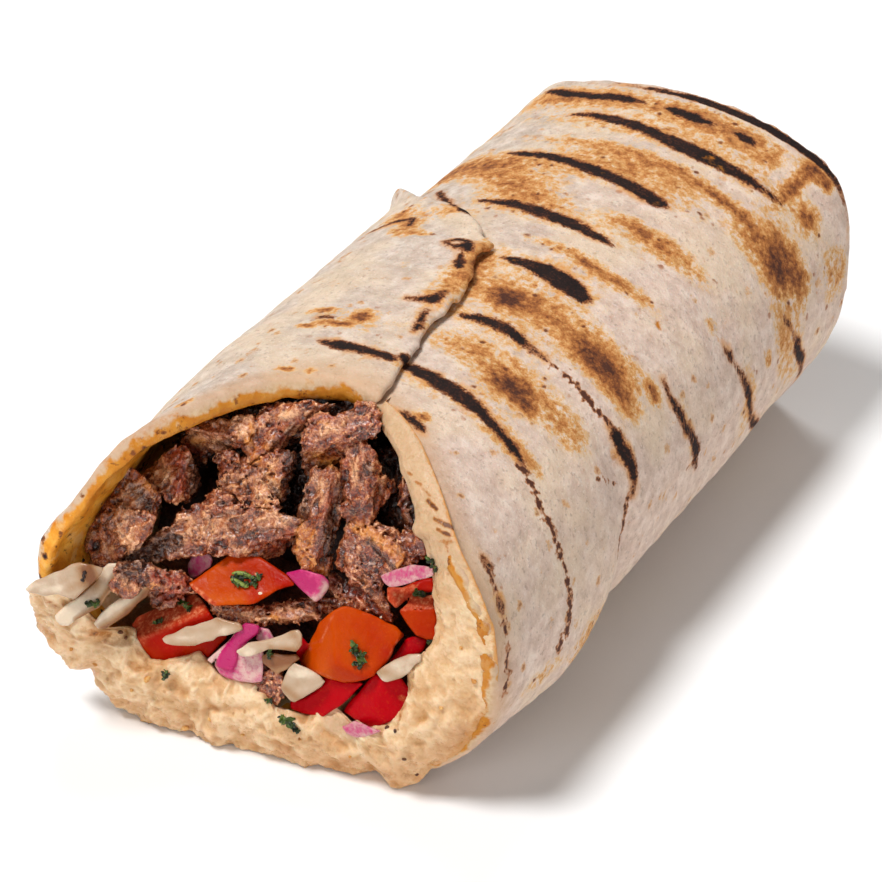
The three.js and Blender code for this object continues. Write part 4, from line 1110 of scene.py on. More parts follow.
# Beef: (CAD node or None, direction of the fibres in degrees, crumbliness, chunks)
BEEF = [
    ("beef_strip_1", 65, 0.3, [
        ([(-33.6, 11.2), (-30.3, 11.2), (-28.6, 10.3), (-26.4, 9), (-25.5, 7.8), (-26, 6), (-26.3, 4.5),
          (-30, 4), (-34.4, 4.2), (-33.4, 6.3), (-33.4, 8.5)],
         [(-30, 8, 6.0, 0.1, -0.1), (-27.5, 8, 5.8, -1.2, 0.3)], 5),
        ([(-31.8, 5.4), (-28.5, 5.3), (-26, 4.6), (-26.4, 3.2), (-27.4, 1), (-28.1, -0.5), (-29.2, -1.5),
          (-30.3, -0.6), (-31.2, 0.2), (-32.8, 1.6), (-34, 3), (-33.4, 4.6)],
         [(-30, 2, 7.8, -0.05, -0.15), (-27, 1.5, 7.3, -1.5, 0.5)], 4),
        ([(-34.9, 3.2), (-33, 1.8), (-31, 0.2), (-29.5, -1.3), (-30.7, -2.7), (-32, -3.8), (-33.5, -4.4),
          (-34.7, -4), (-35.7, -3), (-36.6, -2), (-37.4, -1), (-36.6, 0), (-36, 1.2)],
         [(-34, -1, 6.6, 0.2, -0.1)], 5),
    ]),
    ("beef_strip_2", 20, 0.25, [
        ([(-14.8, 11.2), (-13.4, 10.6), (-12.9, 9.9), (-11, 10.3), (-9, 9.9), (-6, 10.1), (-3, 10),
          (-1.8, 9.7), (-2, 8.3), (-2.6, 6.6), (-4, 4.6), (-6, 3), (-9.5, 2.4), (-11, 2.5), (-12.5, 3),
          (-14.5, 2.3), (-16.5, 1.9), (-18.5, 0.9), (-20.5, -0.1), (-23, -0.6), (-26, -2.2),
          (-28.3, -3.9), (-30, -4.6), (-29.3, -2.6), (-27.2, -0.9), (-25.6, 0.9), (-24.2, 2.2),
          (-22.6, 4), (-21.8, 5.1), (-21.4, 6.4), (-19.5, 7.6), (-17.6, 9), (-16.2, 10.8)],
         [(-14, 7, 2.5, 0.02, -0.18), (-6.5, 6, 2.9, -0.86, 0.98)], 5),
    ]),
    ("beef_strip_13", 5, 0.3, [
        ([(-30.6, -5.2), (-30.2, -4.1), (-28.5, -3.6), (-26.5, -2.9), (-24, -3.4), (-22, -3.2), (-20, -2.8),
          (-18.3, -3.6), (-17.3, -5), (-19, -5.6), (-21, -5.8), (-23, -6), (-24.3, -6.3), (-25.5, -5.8),
          (-26.3, -6.3), (-27, -6.9), (-27.8, -7.9), (-28.8, -8.3), (-30, -8.1), (-31.2, -7.6),
          (-30.4, -6.4)],
         [(-29.5, -5, 9.6, -0.55, -0.1)], 4),
    ]),
    ("beef_strip_10", 55, 0.3, [
        ([(-28.6, 11), (-27.8, 12), (-26.8, 13.2), (-25.5, 14.6), (-24.5, 16), (-23, 16.8), (-21.8, 16.3),
          (-20.8, 15), (-20, 13.5), (-19.5, 12), (-19.8, 10.5), (-20.7, 9.3), (-22, 8.7), (-23.7, 8.5),
          (-25, 9.2), (-26.8, 9.8), (-28, 10.2)],
         [(-25, 13, 1.9, 0.35, -0.3), (-22, 13, 2.9, -1.6, 0.1)], 7),
    ]),
    ("beef_strip_11", 25, 0.3, [
        ([(-22.8, 18.2), (-22.3, 20), (-20.5, 20.8), (-19, 21.3), (-18, 22), (-16, 22.8), (-14.5, 23.2),
          (-13, 24), (-12, 24.2), (-11.5, 23), (-12, 21.5), (-12.5, 20.5), (-14, 19.6), (-16, 19.1),
          (-17.5, 18.2), (-19.3, 17.6), (-21, 17.4), (-22.3, 17.6)],
         [(-17, 21, 0.3, 0.05, -0.35), (-17, 20.3, 0.5, 0.1, 1.4)], 6),
        ([(-19.2, 17.3), (-19.2, 15.8), (-20.6, 15.5), (-22.4, 16.6), (-22.6, 17.8), (-21, 18.2)],
         [(-21, 17, -3.5, 0.1, 0.3)], 4),
    ]),
    ("beef_strip_4", 40, 0.25, [
        ([(-10, 25.5), (-9.5, 26.6), (-8, 27.1), (-6.3, 27.5), (-3.5, 28.1), (-1.5, 28.4), (0.5, 28.6),
          (2, 28.8), (3.4, 28.7), (1.8, 27.8), (0, 27), (-1.5, 26.3), (-2.8, 25.5), (-3.5, 24), (-4.5, 22.3),
          (-6, 21), (-8, 20.3), (-9, 19.8), (-9.8, 18.5), (-10.3, 17.7), (-11.2, 17.6), (-11.6, 18.5),
          (-12.1, 19.1), (-12.7, 19.6), (-12.2, 20.3), (-12.5, 21.6), (-12.1, 23), (-11.3, 23.6),
          (-10.7, 24.4)],
         [(-9, 23, -0.5, 0.1, -0.25), (-6.5, 23, -0.1, -1.2, 0.9)], 6),
    ]),
    ("beef_strip_5", 30, 1.0, [
        ([(-16.4, 17.2), (-15.5, 17.9), (-14, 17.9), (-12, 17.5), (-11, 17), (-10.5, 15.5), (-12.5, 14.8),
          (-14.5, 14.3), (-15.4, 14.4), (-15.5, 15.3), (-16.4, 16)],
         [(-14, 16.5, -0.6, 0, -0.1)], 4),
        ([(-15.4, 13), (-14.4, 14.1), (-13.5, 14.6), (-12.5, 15.6), (-11.2, 16.2), (-9.7, 16.5), (-8.5, 16.1),
          (-7.5, 15.3), (-6.8, 14.3), (-6.2, 13.2), (-6.6, 12.4), (-5.6, 11.2), (-5.3, 10), (-7, 9.8),
          (-8.8, 9.8), (-9.6, 10.7), (-10.6, 10.9), (-11.5, 11.4), (-12.6, 12), (-13.6, 11.6), (-14.9, 12)],
         [(-10, 13, 1.5, 0, -0.1)], 5),
        ([(-10.5, 17), (-9.6, 17.4), (-8, 19.1), (-6.6, 20.1), (-4.6, 20.1), (-4.4, 18.6), (-4.6, 17),
          (-5.2, 16), (-4.8, 14.4), (-5.3, 13.2), (-6.2, 13.5), (-7, 14.8), (-8, 15.8), (-9, 16.3)],
         [(-7, 17.5, 0.9, 0.2, -0.15), (-5.3, 17, 0.6, -1.2, 0.2)], 5),
        ([(-6.5, 20), (-4.5, 21), (-3, 21.7), (-1.5, 20), (-0.5, 18), (-0.3, 15), (-1.2, 13), (-1.5, 10.5),
          (-5, 10.3), (-6, 13)],
         [(-3, 16, -5, 0, 0)], 4),
    ]),
    ("beef_strip_6", 35, 0.2, [
        ([(-1.9, 26.1), (-0.8, 26.8), (0.4, 26.8), (1, 26.2), (2, 27), (3.2, 28), (4, 28.8), (4.8, 29.7),
          (6, 30.2), (7.5, 30.4), (8.3, 29.5), (8.7, 28.3), (8.8, 27), (8.3, 26), (7, 25.2), (5.8, 24.6),
          (5, 24), (4, 22.8), (3.4, 22), (3.3, 21), (3.7, 19.9), (3.4, 19), (2.5, 18.6), (1, 18.3),
          (-0.3, 18), (-1.5, 18.4), (-2, 19.2), (-2.3, 20.2), (-2.6, 21.5), (-2.8, 22.4), (-2.4, 23.4),
          (-2.8, 24.1), (-2.5, 25.2)],
         [(1, 24, 2.2, 0, -0.42), (5, 24.8, 2.0, -0.6, 1.2)], 7),
    ]),
    ("beef_strip_3", 80, 0.3, [
        ([(-0.2, 18.4), (1.2, 19), (3, 19.1), (4, 18.3), (4.1, 17.2), (5, 16.4), (5.1, 15.2), (5, 14.2),
          (4.5, 13), (4.6, 12.1), (4.3, 11), (4.2, 9.5), (4, 8), (3.9, 6.5), (4.3, 5.2), (4.4, 4.2),
          (3.8, 3.3), (2.5, 2.7), (0.8, 3), (0.3, 4.1), (-0.5, 4.5), (-0.8, 5.1), (-1.7, 5.4), (-1.4, 7),
          (-1.3, 8.5), (-1.6, 10), (-1.4, 11.5), (-1.3, 12.8), (-0.7, 14), (-0.7, 15), (-0.3, 16.5)],
         [(0.8, 12, 2.2, 0.25, -0.05), (2.6, 12, 2.5, -1.3, 0)], 6),
    ]),
    ("beef_strip_7", 115, 0.35, [
        ([(5, 23.8), (6.1, 24.8), (7.5, 24.2), (8.7, 23.1), (8.9, 21.9), (9.6, 21.3), (9.3, 20.2),
          (9.9, 19.5), (10.6, 19), (11.3, 19.9), (12.4, 19.3), (12.7, 18.8), (12, 18), (11.2, 17.3),
          (11, 16), (10.1, 15), (10, 14), (9.6, 12.8), (8, 12.3), (6.6, 12.7), (5.3, 13), (5, 13.9),
          (5.8, 14.6), (6.3, 15.3), (5.6, 16), (5.1, 17), (4.7, 17.8), (4, 18.2), (4.3, 18.9),
          (4, 19.4), (4.3, 20.2), (4.1, 21.5), (4.5, 22.5)],
         [(6.5, 18, 1.2, 0.05, -0.12), (9, 18, 1.5, -0.9, 0)], 6),
    ]),
    ("beef_strip_8", 145, 0.45, [
        ([(6.5, 12.3), (7.5, 12.8), (8.6, 12.8), (10, 12.5), (12, 12.3), (14, 12), (15.5, 11.4), (16.3, 12.3),
          (17.3, 12.1), (18.5, 12.3), (19.3, 11.8), (19.5, 10.8), (19.1, 9.8), (18.2, 9), (17, 8), (15.8, 7),
          (13, 8.4), (11, 9.8), (8.5, 11)],
         [(13, 11, 0.5, 0.05, -0.3)], 5),
        ([(7.6, 11.9), (9.5, 11.7), (11.5, 11.2), (13.5, 10.6), (15, 10), (16, 9), (16.2, 7.6), (15.4, 6.5),
          (14, 7.4), (12.5, 8.6), (11, 9.9), (9.5, 10.5), (8, 11)],
         [(12, 10, 1.9, 0.1, -0.3)], 4),
        ([(6.6, 11), (7, 9.5), (6.7, 8), (6.2, 6.9), (6.3, 5.6), (6.5, 4.8), (7.8, 4.3), (8.7, 3.3),
          (9.8, 3.2), (10.5, 3.8), (11.3, 3), (12.4, 2.8), (13.3, 4.4), (14.5, 5.6), (15.6, 6.6),
          (14, 7.5), (12.5, 8.5), (11, 9.7), (9, 10.6), (7.8, 11)],
         [(10.5, 7, 1.3, 0.12, -0.12)], 4),
        ([(9.3, 4), (10.8, 3.6), (12.4, 3), (13.6, 1.8), (14.6, 0.6), (15.8, -0.4), (16.6, -0.9),
          (16.2, -1.8), (14.8, -1.7), (13.6, -1.2), (12, 0.1), (10.8, 1.2), (10, 2.3)],
         [(12.5, 1, 0.8, 0, 0.1)], 3),
        ([(8.9, -1.2), (9.6, -0.2), (10.6, 0.9), (11.6, 1), (12.4, 0.5), (13, -0.3), (14, -1), (13.5, -1.9),
          (11, -1.6)],
         [(11, -0.5, 0.9, 0, 0)], 3),
        ([(5.6, 2.9), (7.2, 1.9), (8.4, 2.4), (9.8, 2.2), (10, 0.8), (8.8, -0.2), (7, -0.3), (5.5, 0.6)],
         [(8, 1, -2.5, 0, 0)], 3),
    ]),
    ("beef_strip_12", 80, 0.7, [
        ([(14.1, 20.3), (15, 20.9), (15.9, 19.2), (15.6, 18.1), (16.6, 16.9), (17.3, 15.5), (17.4, 14),
          (17.1, 12.9), (16.2, 12.7), (15.2, 13.2), (15.2, 15.5), (14.9, 16.8), (14, 17.5), (14.2, 18.5),
          (13.7, 19.4)],
         [(15.5, 16, -3, 0, 0)], 4),
    ]),
    ("beef_strip_9", 12, 0.6, [
        ([(-13.5, -6.3), (-11, -5.7), (-8, -5.7), (-5.5, -5.2), (-3, -4.2), (0, -3), (2.5, -2), (4, -1.2),
          (5.5, -0.6), (7, -0.3), (8.3, -0.8), (7, -1.7), (5.5, -2.2), (4.3, -3), (4, -3.9), (2, -4.9),
          (-1, -5.9), (-4, -6.4), (-7, -7.6), (-9.5, -7.8), (-11.5, -7.5), (-13, -7)],
         [(-3, -5, 2.1, -0.04, 0.1), (-3, -6, 1.9, -0.1, -0.5)], 4),
    ]),
    # Meat with no CAD node of its own, filling gaps; the first two lie deep behind the mouth's plane, where
    # the material paints them dark as shade
    (None, 30, 0.5, [
        ([(-23, 18.5), (-20, 21.5), (-16, 23.6), (-12, 25.6), (-8, 27.6), (-3, 29), (2, 30), (7, 31), (8, 28),
          (2, 26), (-4, 24), (-8, 21), (-12, 19), (-18, 17)],
         [(-8, 24, -5.2, 0, -0.1)], 4),
    ]),
    (None, 90, 0.6, [
        ([(9, 24.5), (12.5, 24.5), (14.5, 22), (15.4, 19), (15.6, 15), (14.5, 11), (9, 11), (9, 15), (10, 19),
          (8.8, 22)],
         [(12, 18, -5.8, 0, 0)], 4),
    ]),
    (None, 60, 0.8, [
        ([(-3.6, -13.2), (-2.2, -14), (-0.8, -14.6), (0.2, -15.8), (0.2, -17.4), (-0.6, -18.6), (-2.2, -18.4),
          (-3.8, -17.2), (-3.8, -15)],
         [(-2, -16, 2.2, 0, 0.1)], 3),
        ([(-24.2, -6.4), (-22, -6), (-19.4, -5.6), (-18.6, -6.6), (-20.4, -7.8), (-23, -8.6)],
         [(-21.5, -7, 0.2, 0, 0)], 3),
    ]),
]

BEEF_GOLD = [
    (-28.8, 10.2, -26.6, 9.2, 0.7, 0.9), (-30, 3.5, -28, 2, 1.6, 0.35), (-26.8, 5.2, -27, 3, 0.9, 0.5),
    (-25, -5.9, -22, -5.7, 0.7, 0.5), (-12.2, 20.5, -10.5, 18.2, 0.9, 0.9), (-9, 20.3, -8, 20.6, 0.8, 0.7),
    (-12, 23, -12, 21.5, 0.7, 0.6), (-1, 20.2, 2.4, 20.4, 1.3, 0.75), (-1, 26, 0.5, 26.4, 0.7, 0.6),
    (-1.2, 12, -1, 5.8, 0.9, 0.85), (0.5, 9, 1, 5, 1.2, 0.6), (0, 4.2, 3.8, 3.4, 1.1, 0.9),
    (8, 11.4, 15.5, 9, 1.1, 0.9), (15.6, 8.6, 15.6, 7, 0.8, 0.9), (-3.4, -5.9, -2.6, -5.9, 0.8, 0.9),
    (-8.7, 22.3, -7.5, 21.6, 0.8, 0.5), (-21.5, 18.4, -19.5, 18.8, 0.8, 0.7),
    (-14, 17, -11.5, 16.8, 1.0, 0.45), (-13.5, 13, -7.5, 12, 2.2, 0.4), (-8.8, 17.4, -6, 15, 1.4, 0.45),
    (-29.5, -7.6, -28, -7.2, 0.8, 0.5), (-34, 1.6, -32.5, 2.8, 1.0, 0.4),
    (5.6, 13.2, 7.5, 12.8, 0.7, 0.5), (4.6, 18.2, 5.2, 22, 0.8, 0.25), (10, 5, 13, 6, 1.6, 0.25),
    (5, 25, 7.5, 27, 0.8, 0.3), (16.5, 11.5, 18.5, 11.3, 0.9, 0.4),
]
BEEF_RED = [
    (-23, 15.4, -22.3, 11, 1.5, 0.9), (-19.5, 20.4, -15, 21, 1.2, 0.6), (-24, -4.2, -18.5, -4, 1.2, 0.8),
    (-22, 17.4, -19.5, 16.6, 0.9, 0.9), (-6.5, 22.5, -7.5, 21, 0.9, 0.8), (1.5, 27.6, -2, 26.5, 0.9, 0.5),
    (2.6, 15, 2.4, 11.5, 1.0, 0.5), (-5, 4.4, -2.6, 8, 1.4, 0.5), (6, 2, 10, 1, 1.3, 0.9),
    (4.8, 26, 7.8, 28.4, 1.0, 0.4), (-32.6, 0.6, -31, -1, 0.9, 0.4), (-28.4, 4.6, -27, 4, 0.8, 0.5),
    (4.5, 21, 4.8, 19, 0.9, 0.5), (-22, -7, -19.5, -6.5, 1.4, 0.9), (-3, 0.5, 4, -2, 1.2, 0.3),
    (-25, 14, -24, 16, 1.2, 0.4), (13, -0.6, 15.8, -1.4, 0.9, 0.5),
]
# Darker strokes: dark meat, and painted shade on faces turned from the light, under overhanging pieces and in
# gaps
BEEF_DARK_AND_SHADE = [
    (-32.6, 10, -27, 7, 1.7, 0.65), (-33, 6, -31, 5.4, 1.0, 0.6), (-29.5, -4, -22.5, 1.5, 2.0, 0.9),
    (-22.5, 3.2, -19.5, 0.4, 1.2, 0.5), (-20.3, 15, -19.6, 10.6, 1.6, 0.85), (-14.5, 20, -17, 19, 0.8, 0.6),
    (-5, 24.6, -8, 20.8, 0.9, 0.6), (4, 17, 4.2, 6, 0.9, 0.7), (3.4, 12, 3.4, 8, 1.4, 0.6),
    (8, 21, 8.3, 20.4, 1.0, 0.9), (10.5, 9.7, 15, 6.7, 0.5, 0.95), (-4, 20, -1.5, 12, 3.0, 0.7),
    (15.5, 20, 16.5, 14, 1.6, 0.6), (7, 1.5, 9.5, 1, 1.4, 0.5), (-36.5, -1.4, -35.5, 0.6, 0.8, 0.6),
    (-7, 14.8, -5.8, 13.4, 0.7, 0.6), (-10.2, 11.6, -6.4, 13, 0.5, 0.4), (-4, 5, -7, 3.4, 0.8, 0.5),
    (10.6, 16, 11, 18, 0.8, 0.5), (6, 8, 6.6, 5, 0.7, 0.5), (-29.8, -4.6, -28.4, -3.8, 0.9, 0.7),
    (-26.4, -6.4, -25.2, -4.6, 0.7, 0.5), (-21, 19.8, -22.2, 18.6, 0.5, 0.5),
]
# Paler strokes: pale meat, and painted light on pieces that the bread's rim shades and on tops that face the
# light
BEEF_PALE_AND_LIT = [
    (-20, 5.4, -5, 9, 2.6, 0.5), (-11.8, 3.4, -9, 3.2, 0.9, 0.6), (-9, 25, -2, 27.6, 1.2, 0.6),
    (-1, 24, 4, 28, 1.7, 0.45), (0.6, 17, 1.5, 14.5, 1.6, 0.5), (5, 22.5, 7, 18, 1.3, 0.35),
    (-14, 13, -8, 14.4, 2.2, 0.55), (-8.6, 16.3, -5.4, 13.4, 0.6, 0.8), (-8, 18, -6, 19, 1.2, 0.4),
    (-32, 3.6, -28.6, -0.4, 1.4, 0.5), (-33.5, -1.6, -32, -3, 1.2, 0.4), (10.5, 3.4, 14.6, 0.2, 0.8, 0.5),
    (-11.5, -7.2, -2, -6.2, 0.7, 0.8), (-2, -6, 3.5, -4, 0.7, 0.6), (-6, -5.6, 3, -2.4, 1.0, 0.4),
    (-25.2, 12.4, -24, 14.5, 1.1, 0.4), (-30, -6, -28, -7, 1.1, 0.4), (8, 4.8, 12.5, 4, 1.2, 0.3),
    (-30.5, 1.5, -30.2, 6.5, 2.6, 0.8), (-26, 11, -21.5, 15, 2.2, 0.8), (-20, 19.3, -13.5, 22.4, 2.2, 1.0),
    (-24, 1.8, -16, 4, 2.0, 0.4), (-34, 2.5, -31, 1, 1.6, 0.4),
]


def grained(places, direction, length):
    """The places turned so that the fibres run along x, and drawn in along them."""
    turn = np.radians(direction)
    along = places[..., 0] * np.cos(turn) + places[..., 1] * np.sin(turn)
    across = places[..., 1] * np.cos(turn) - places[..., 0] * np.sin(turn)
    return np.stack([along / length, across, places[..., 2]], -1)


def beef_relief(places, direction, crumbliness, seed):
    """Fibres, folds and torn bits of meat: fine relief from about -1 to 1."""
    drawn = grained(places, direction, mix(4.2, 2.4, crumbliness))
    bent = drawn + 0.5 * np.stack([noise(places, 2.4, seed + 50 + k, 2) for k in range(3)], -1)
    fibres = 1 - 2.6 * np.abs(noise(bent, 1.3, seed, 3))
    shreds = grained(places, direction, mix(1.7, 1.15, crumbliness)) + 0.35 * bent
    bits = 1 - 2.8 * np.abs(noise(shreds, 1.15, seed + 9, 2))
    torn = 1 - 2.6 * np.abs(noise(places + 0.8 * bent, 2.9, seed + 13, 2))
    grit = noise(places, 0.55, seed + 5, 2)
    return mix(fibres, bits, 0.2 + 0.6 * crumbliness) * 0.7 + 0.5 * torn + 0.45 * grit


BEEF_STEP, BEEF_EDGE = 0.25, 0.6
BEEF_LEFT_TO, BEEF_LOW_TO, BEEF_TOP_TO = -13, -2, 1.5


def beef_group(parts):
    """Which of the three pieces of beef a strip goes into, by the middle of its outlines."""
    across, up = np.mean([np.mean(part[0], axis=0) for part in parts], axis=0)
    if across < BEEF_LEFT_TO or up < BEEF_LOW_TO:
        return "beef_left"
    return "beef_top" if across < BEEF_TOP_TO else "beef_right"


def build_beef(material):
    heaps = {}
    for seed, (name, direction, crumbliness, parts) in enumerate(BEEF):
        heap, names = heaps.setdefault(beef_group(parts), (Heap(), []))

        def detail(places, direction=direction, crumbliness=crumbliness, seed=seed):
            lumps = 0.4 * noise(places, 4.0, seed + 20, 2) - 0.1
            return lumps + mix(0.8, 1.0, crumbliness) * beef_relief(places, direction, crumbliness, seed)

        points, faces, spots, owner = sculpt(parts, BEEF_STEP, BEEF_EDGE, detail)
        relief = beef_relief(mouth_places(points), direction, crumbliness, seed)
        behind = [front_level(*spots.T[:2], part[1]) - spots[:, 2] for part in parts]
        heap.add(points, faces, {
            "relief": relief,
            # How far behind its own front each place lies; the material paints it as shade
            "deep": smooth(np.choose(owner, behind), 0.6, 3.6),
            "gold": strokes_field(spots, BEEF_GOLD),
            "red": strokes_field(spots, BEEF_RED),
            "dark": strokes_field(spots, BEEF_DARK_AND_SHADE),
            "pale": strokes_field(spots, BEEF_PALE_AND_LIT),
            "out": spots[:, 2],
        })
        if name:
            names.append(name)
    for group, (heap, names) in heaps.items():
        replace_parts(heap.piece(group, "beef", material), *names)


# Tomato: (CAD node, chunks). A chunk ends with how red it is, from orange 0 to deep red 1,
# and how much of the grainy cut flesh it shows.
TOMATO = [
    ("tomato_dice_1", [
        ([(-18.1, -4), (-16.5, -2.4), (-14.5, -0.4), (-12.2, 2.1), (-11.4, 2.6), (-9, 2.7), (-7, 3),
          (-6.4, 2.8), (-4.3, 2.1), (-2.3, 1.4), (-0.9, 0.7), (-0.5, 0.1), (-1.8, -0.5), (-3.3, -1.4),
          (-4.8, -2.8), (-6.5, -4.3), (-7.5, -4.8), (-9.5, -5.3), (-11.8, -6), (-13.3, -6.5),
          (-14.8, -6), (-16, -5.3), (-17.3, -4.8)],
         [(-10, -1.5, 3.5, 0, -0.42), (-16, -5.6, 5.0, 0.5, 1.1)], 4, 0.2, 0.05),
    ]),
    ("tomato_dice_2", [
        ([(2.9, -11.2), (2.9, -10.5), (3.6, -9), (3.6, -8), (4.2, -6.2), (4.5, -4.9), (5.5, -3.5),
          (6.5, -2.4), (7.5, -1.6), (8.3, -1.2), (10, -1.2), (12.5, -1.4), (14, -1.7), (15.5, -2.1),
          (17, -2.3), (18.6, -3.3), (18, -4.2), (17.3, -5.5), (17.2, -6.7), (16.7, -7.9), (15.7, -9.4),
          (14.8, -10.8), (13.5, -11.8), (12, -12.5), (10, -13.1), (7.5, -13.1), (5.5, -12.8),
          (3.8, -12.6), (2.7, -12.1)],
         [(7, -6, 5.6, 0.75, 0.1), (7, -6, 5.6, -0.15, -0.15), (7, -10.5, 6.2, 0, 0.9), (17.3, -5, 5, -2, 0)],
         8, 0.15, 0.05),
        ([(1.6, -7.4), (3.3, -8.6), (3.4, -10), (2.8, -12), (1.8, -11), (1.4, -9)],
         [(2.5, -9.5, 1.5, 0, 0)], 3, 1.0, 0.2),
    ]),
    ("tomato_dice_3", [
        ([(11, -17.6), (11.3, -16.5), (12, -15.2), (13, -14), (14, -12), (15, -10.4), (15.3, -10.4),
          (16.5, -11.2), (19.2, -10), (20.3, -11), (21.5, -11.2), (22.2, -12), (22, -12.9), (20.8, -13.6),
          (20.9, -14.4), (20.2, -15.5), (19.5, -16.5), (18.3, -17.5), (17, -18.6), (15.5, -18.9),
          (13.5, -18.5), (12, -17.9)],
         [(16, -13, 3.8, 0.6, 0.1), (16, -13, 3.8, -0.25, 0.15), (16, -17, 3.2, 0, 0.8)], 6, 1.0, 0.0),
    ]),
    ("tomato_dice_4", [
        ([(-26.7, -13), (-26, -11.5), (-24, -10), (-22, -8.7), (-20.8, -7.6), (-19.2, -6.5), (-18.7, -5.9),
          (-17.5, -5.4), (-16.3, -5.6), (-14.5, -7), (-13.8, -8), (-10.3, -10.8), (-11.5, -12.5),
          (-13, -14.9), (-14, -14.6), (-17, -16), (-18.5, -16.4), (-20.5, -17.3), (-22.3, -17.7),
          (-23, -17.2), (-24.5, -16), (-25.3, -15)],
         [(-19, -11, 3.2, 0.572, -0.94), (-19, -11, 3.2, -0.18, 0.3)], 7, 0.6, 0.1),
        ([(-23.2, -6), (-20, -5.6), (-18.8, -6.4), (-19.6, -8.6), (-22.6, -8.4)],
         [(-21, -7, -2.5, 0, 0)], 3, 0.7, 0.3),
    ]),
    ("tomato_dice_5", [
        ([(2.3, -19.4), (2, -18.4), (4, -17.3), (6, -15.3), (7.3, -13.6), (6.5, -13.1), (10, -13.1),
          (12.3, -12.6), (13.4, -12.3), (12.5, -13.5), (11.5, -15.2), (10.3, -16.8), (9, -18), (7.7, -19.3),
          (6, -19.5), (4.3, -19.6)],
         [(8, -15, 2.2, 0.1, 0.2)], 5, 1.0, 0.0),
    ]),
    ("tomato_dice_6", [
        ([(17.2, 0.2), (18.3, 1.7), (18.8, 3.3), (20, 3.2), (22.2, 4), (22.3, 3), (22.5, 2), (20, 1.4)],
         [(20, 2.5, 4.5, 0.1, -0.8)], 5, 0.4, 0.9),
        ([(17.2, 0.3), (20, 1.0), (22.8, 1.9), (23.3, 0.7), (23.4, -1), (23.9, -2.9), (22.5, -3.1),
          (20.5, -2.8), (18.8, -1.5)],
         [(20.5, -0.8, 5.2, -0.15, 0.15)], 5, 0.4, 0.1),
        ([(18.5, 5), (20.5, 6.3), (21.7, 6.5), (22.1, 4.5), (20, 4)],
         [(20.5, 5.3, 2.5, 0, -0.3)], 3, 0.7, 0.2),
        ([(14.5, 3.5), (17, 3.9), (18.8, 5.3), (20, 5.6), (18.5, 3), (17.8, 2), (16.5, 0.5), (15, 1.5)],
         [(17.5, 3.5, 3.0, 0.1, -0.4)], 4, 0.6, 0.6),
    ]),
    ("tomato_dice_7", [
        ([(17, -8), (18.5, -5), (19, -3.8), (20.4, -3.1), (22.3, -3.2), (22, -4.8), (21.4, -5.5), (19, -6.8),
          (17.5, -8.4)],
         [(20, -5, 2.0, 0, 0)], 4, 0.9, 0.2),
    ]),
]
# Redder strokes: deeper red flesh, and painted shade on the faces turned from the light; a negative strength
# makes a place more orange
TOMATO_RED_AND_SHADE = [
    (-5, 1.6, -2, 0, 2.2, 0.85), (-9, 2.4, -6, -4, 2.4, 0.5), (-15, -5.6, -9, -5, 0.8, -0.4),
    (12, -4, 15, -6, 3.4, 0.5), (9, -11.8, 13, -11.6, 1.5, 0.4), (16.5, -7, 15, -10, 1.0, 0.4),
    (-22, -11.2, -17, -7.6, 1.8, 0.2),
]
# Strokes of the grainy cut flesh, and painted highlights along the ridge and right edge of the second dice
TOMATO_CUT_AND_HIGHLIGHT = [
    (-24.5, -12.2, -16.5, -6.8, 2.2, 1.0), (-25.8, -13.4, -24.4, -15.2, 0.9, 0.5),
    (19.8, -13.1, 21.4, -13.2, 0.5, 0.9), (-17, -5.2, -13.4, -6.3, 0.45, 0.8),
    (4.6, -12.4, 8, -12.9, 0.5, 0.4), (17.8, -4.6, 16.8, -7.6, 0.6, 0.5),
    (6.7, -2.6, 5.3, -7.6, 0.35, 0.5), (5.3, -7.6, 3.0, -8.8, 0.3, 0.45),
    (-17.6, -4.2, -13.4, -6.3, 0.35, 0.7), (-7.2, 0.2, -6.8, 0.2, 0.35, 0.9),
    (-6.1, -2.6, -5.8, -2.5, 0.35, 0.9), (3.7, -9.3, 3.8, -9.2, 0.35, 0.9),
]

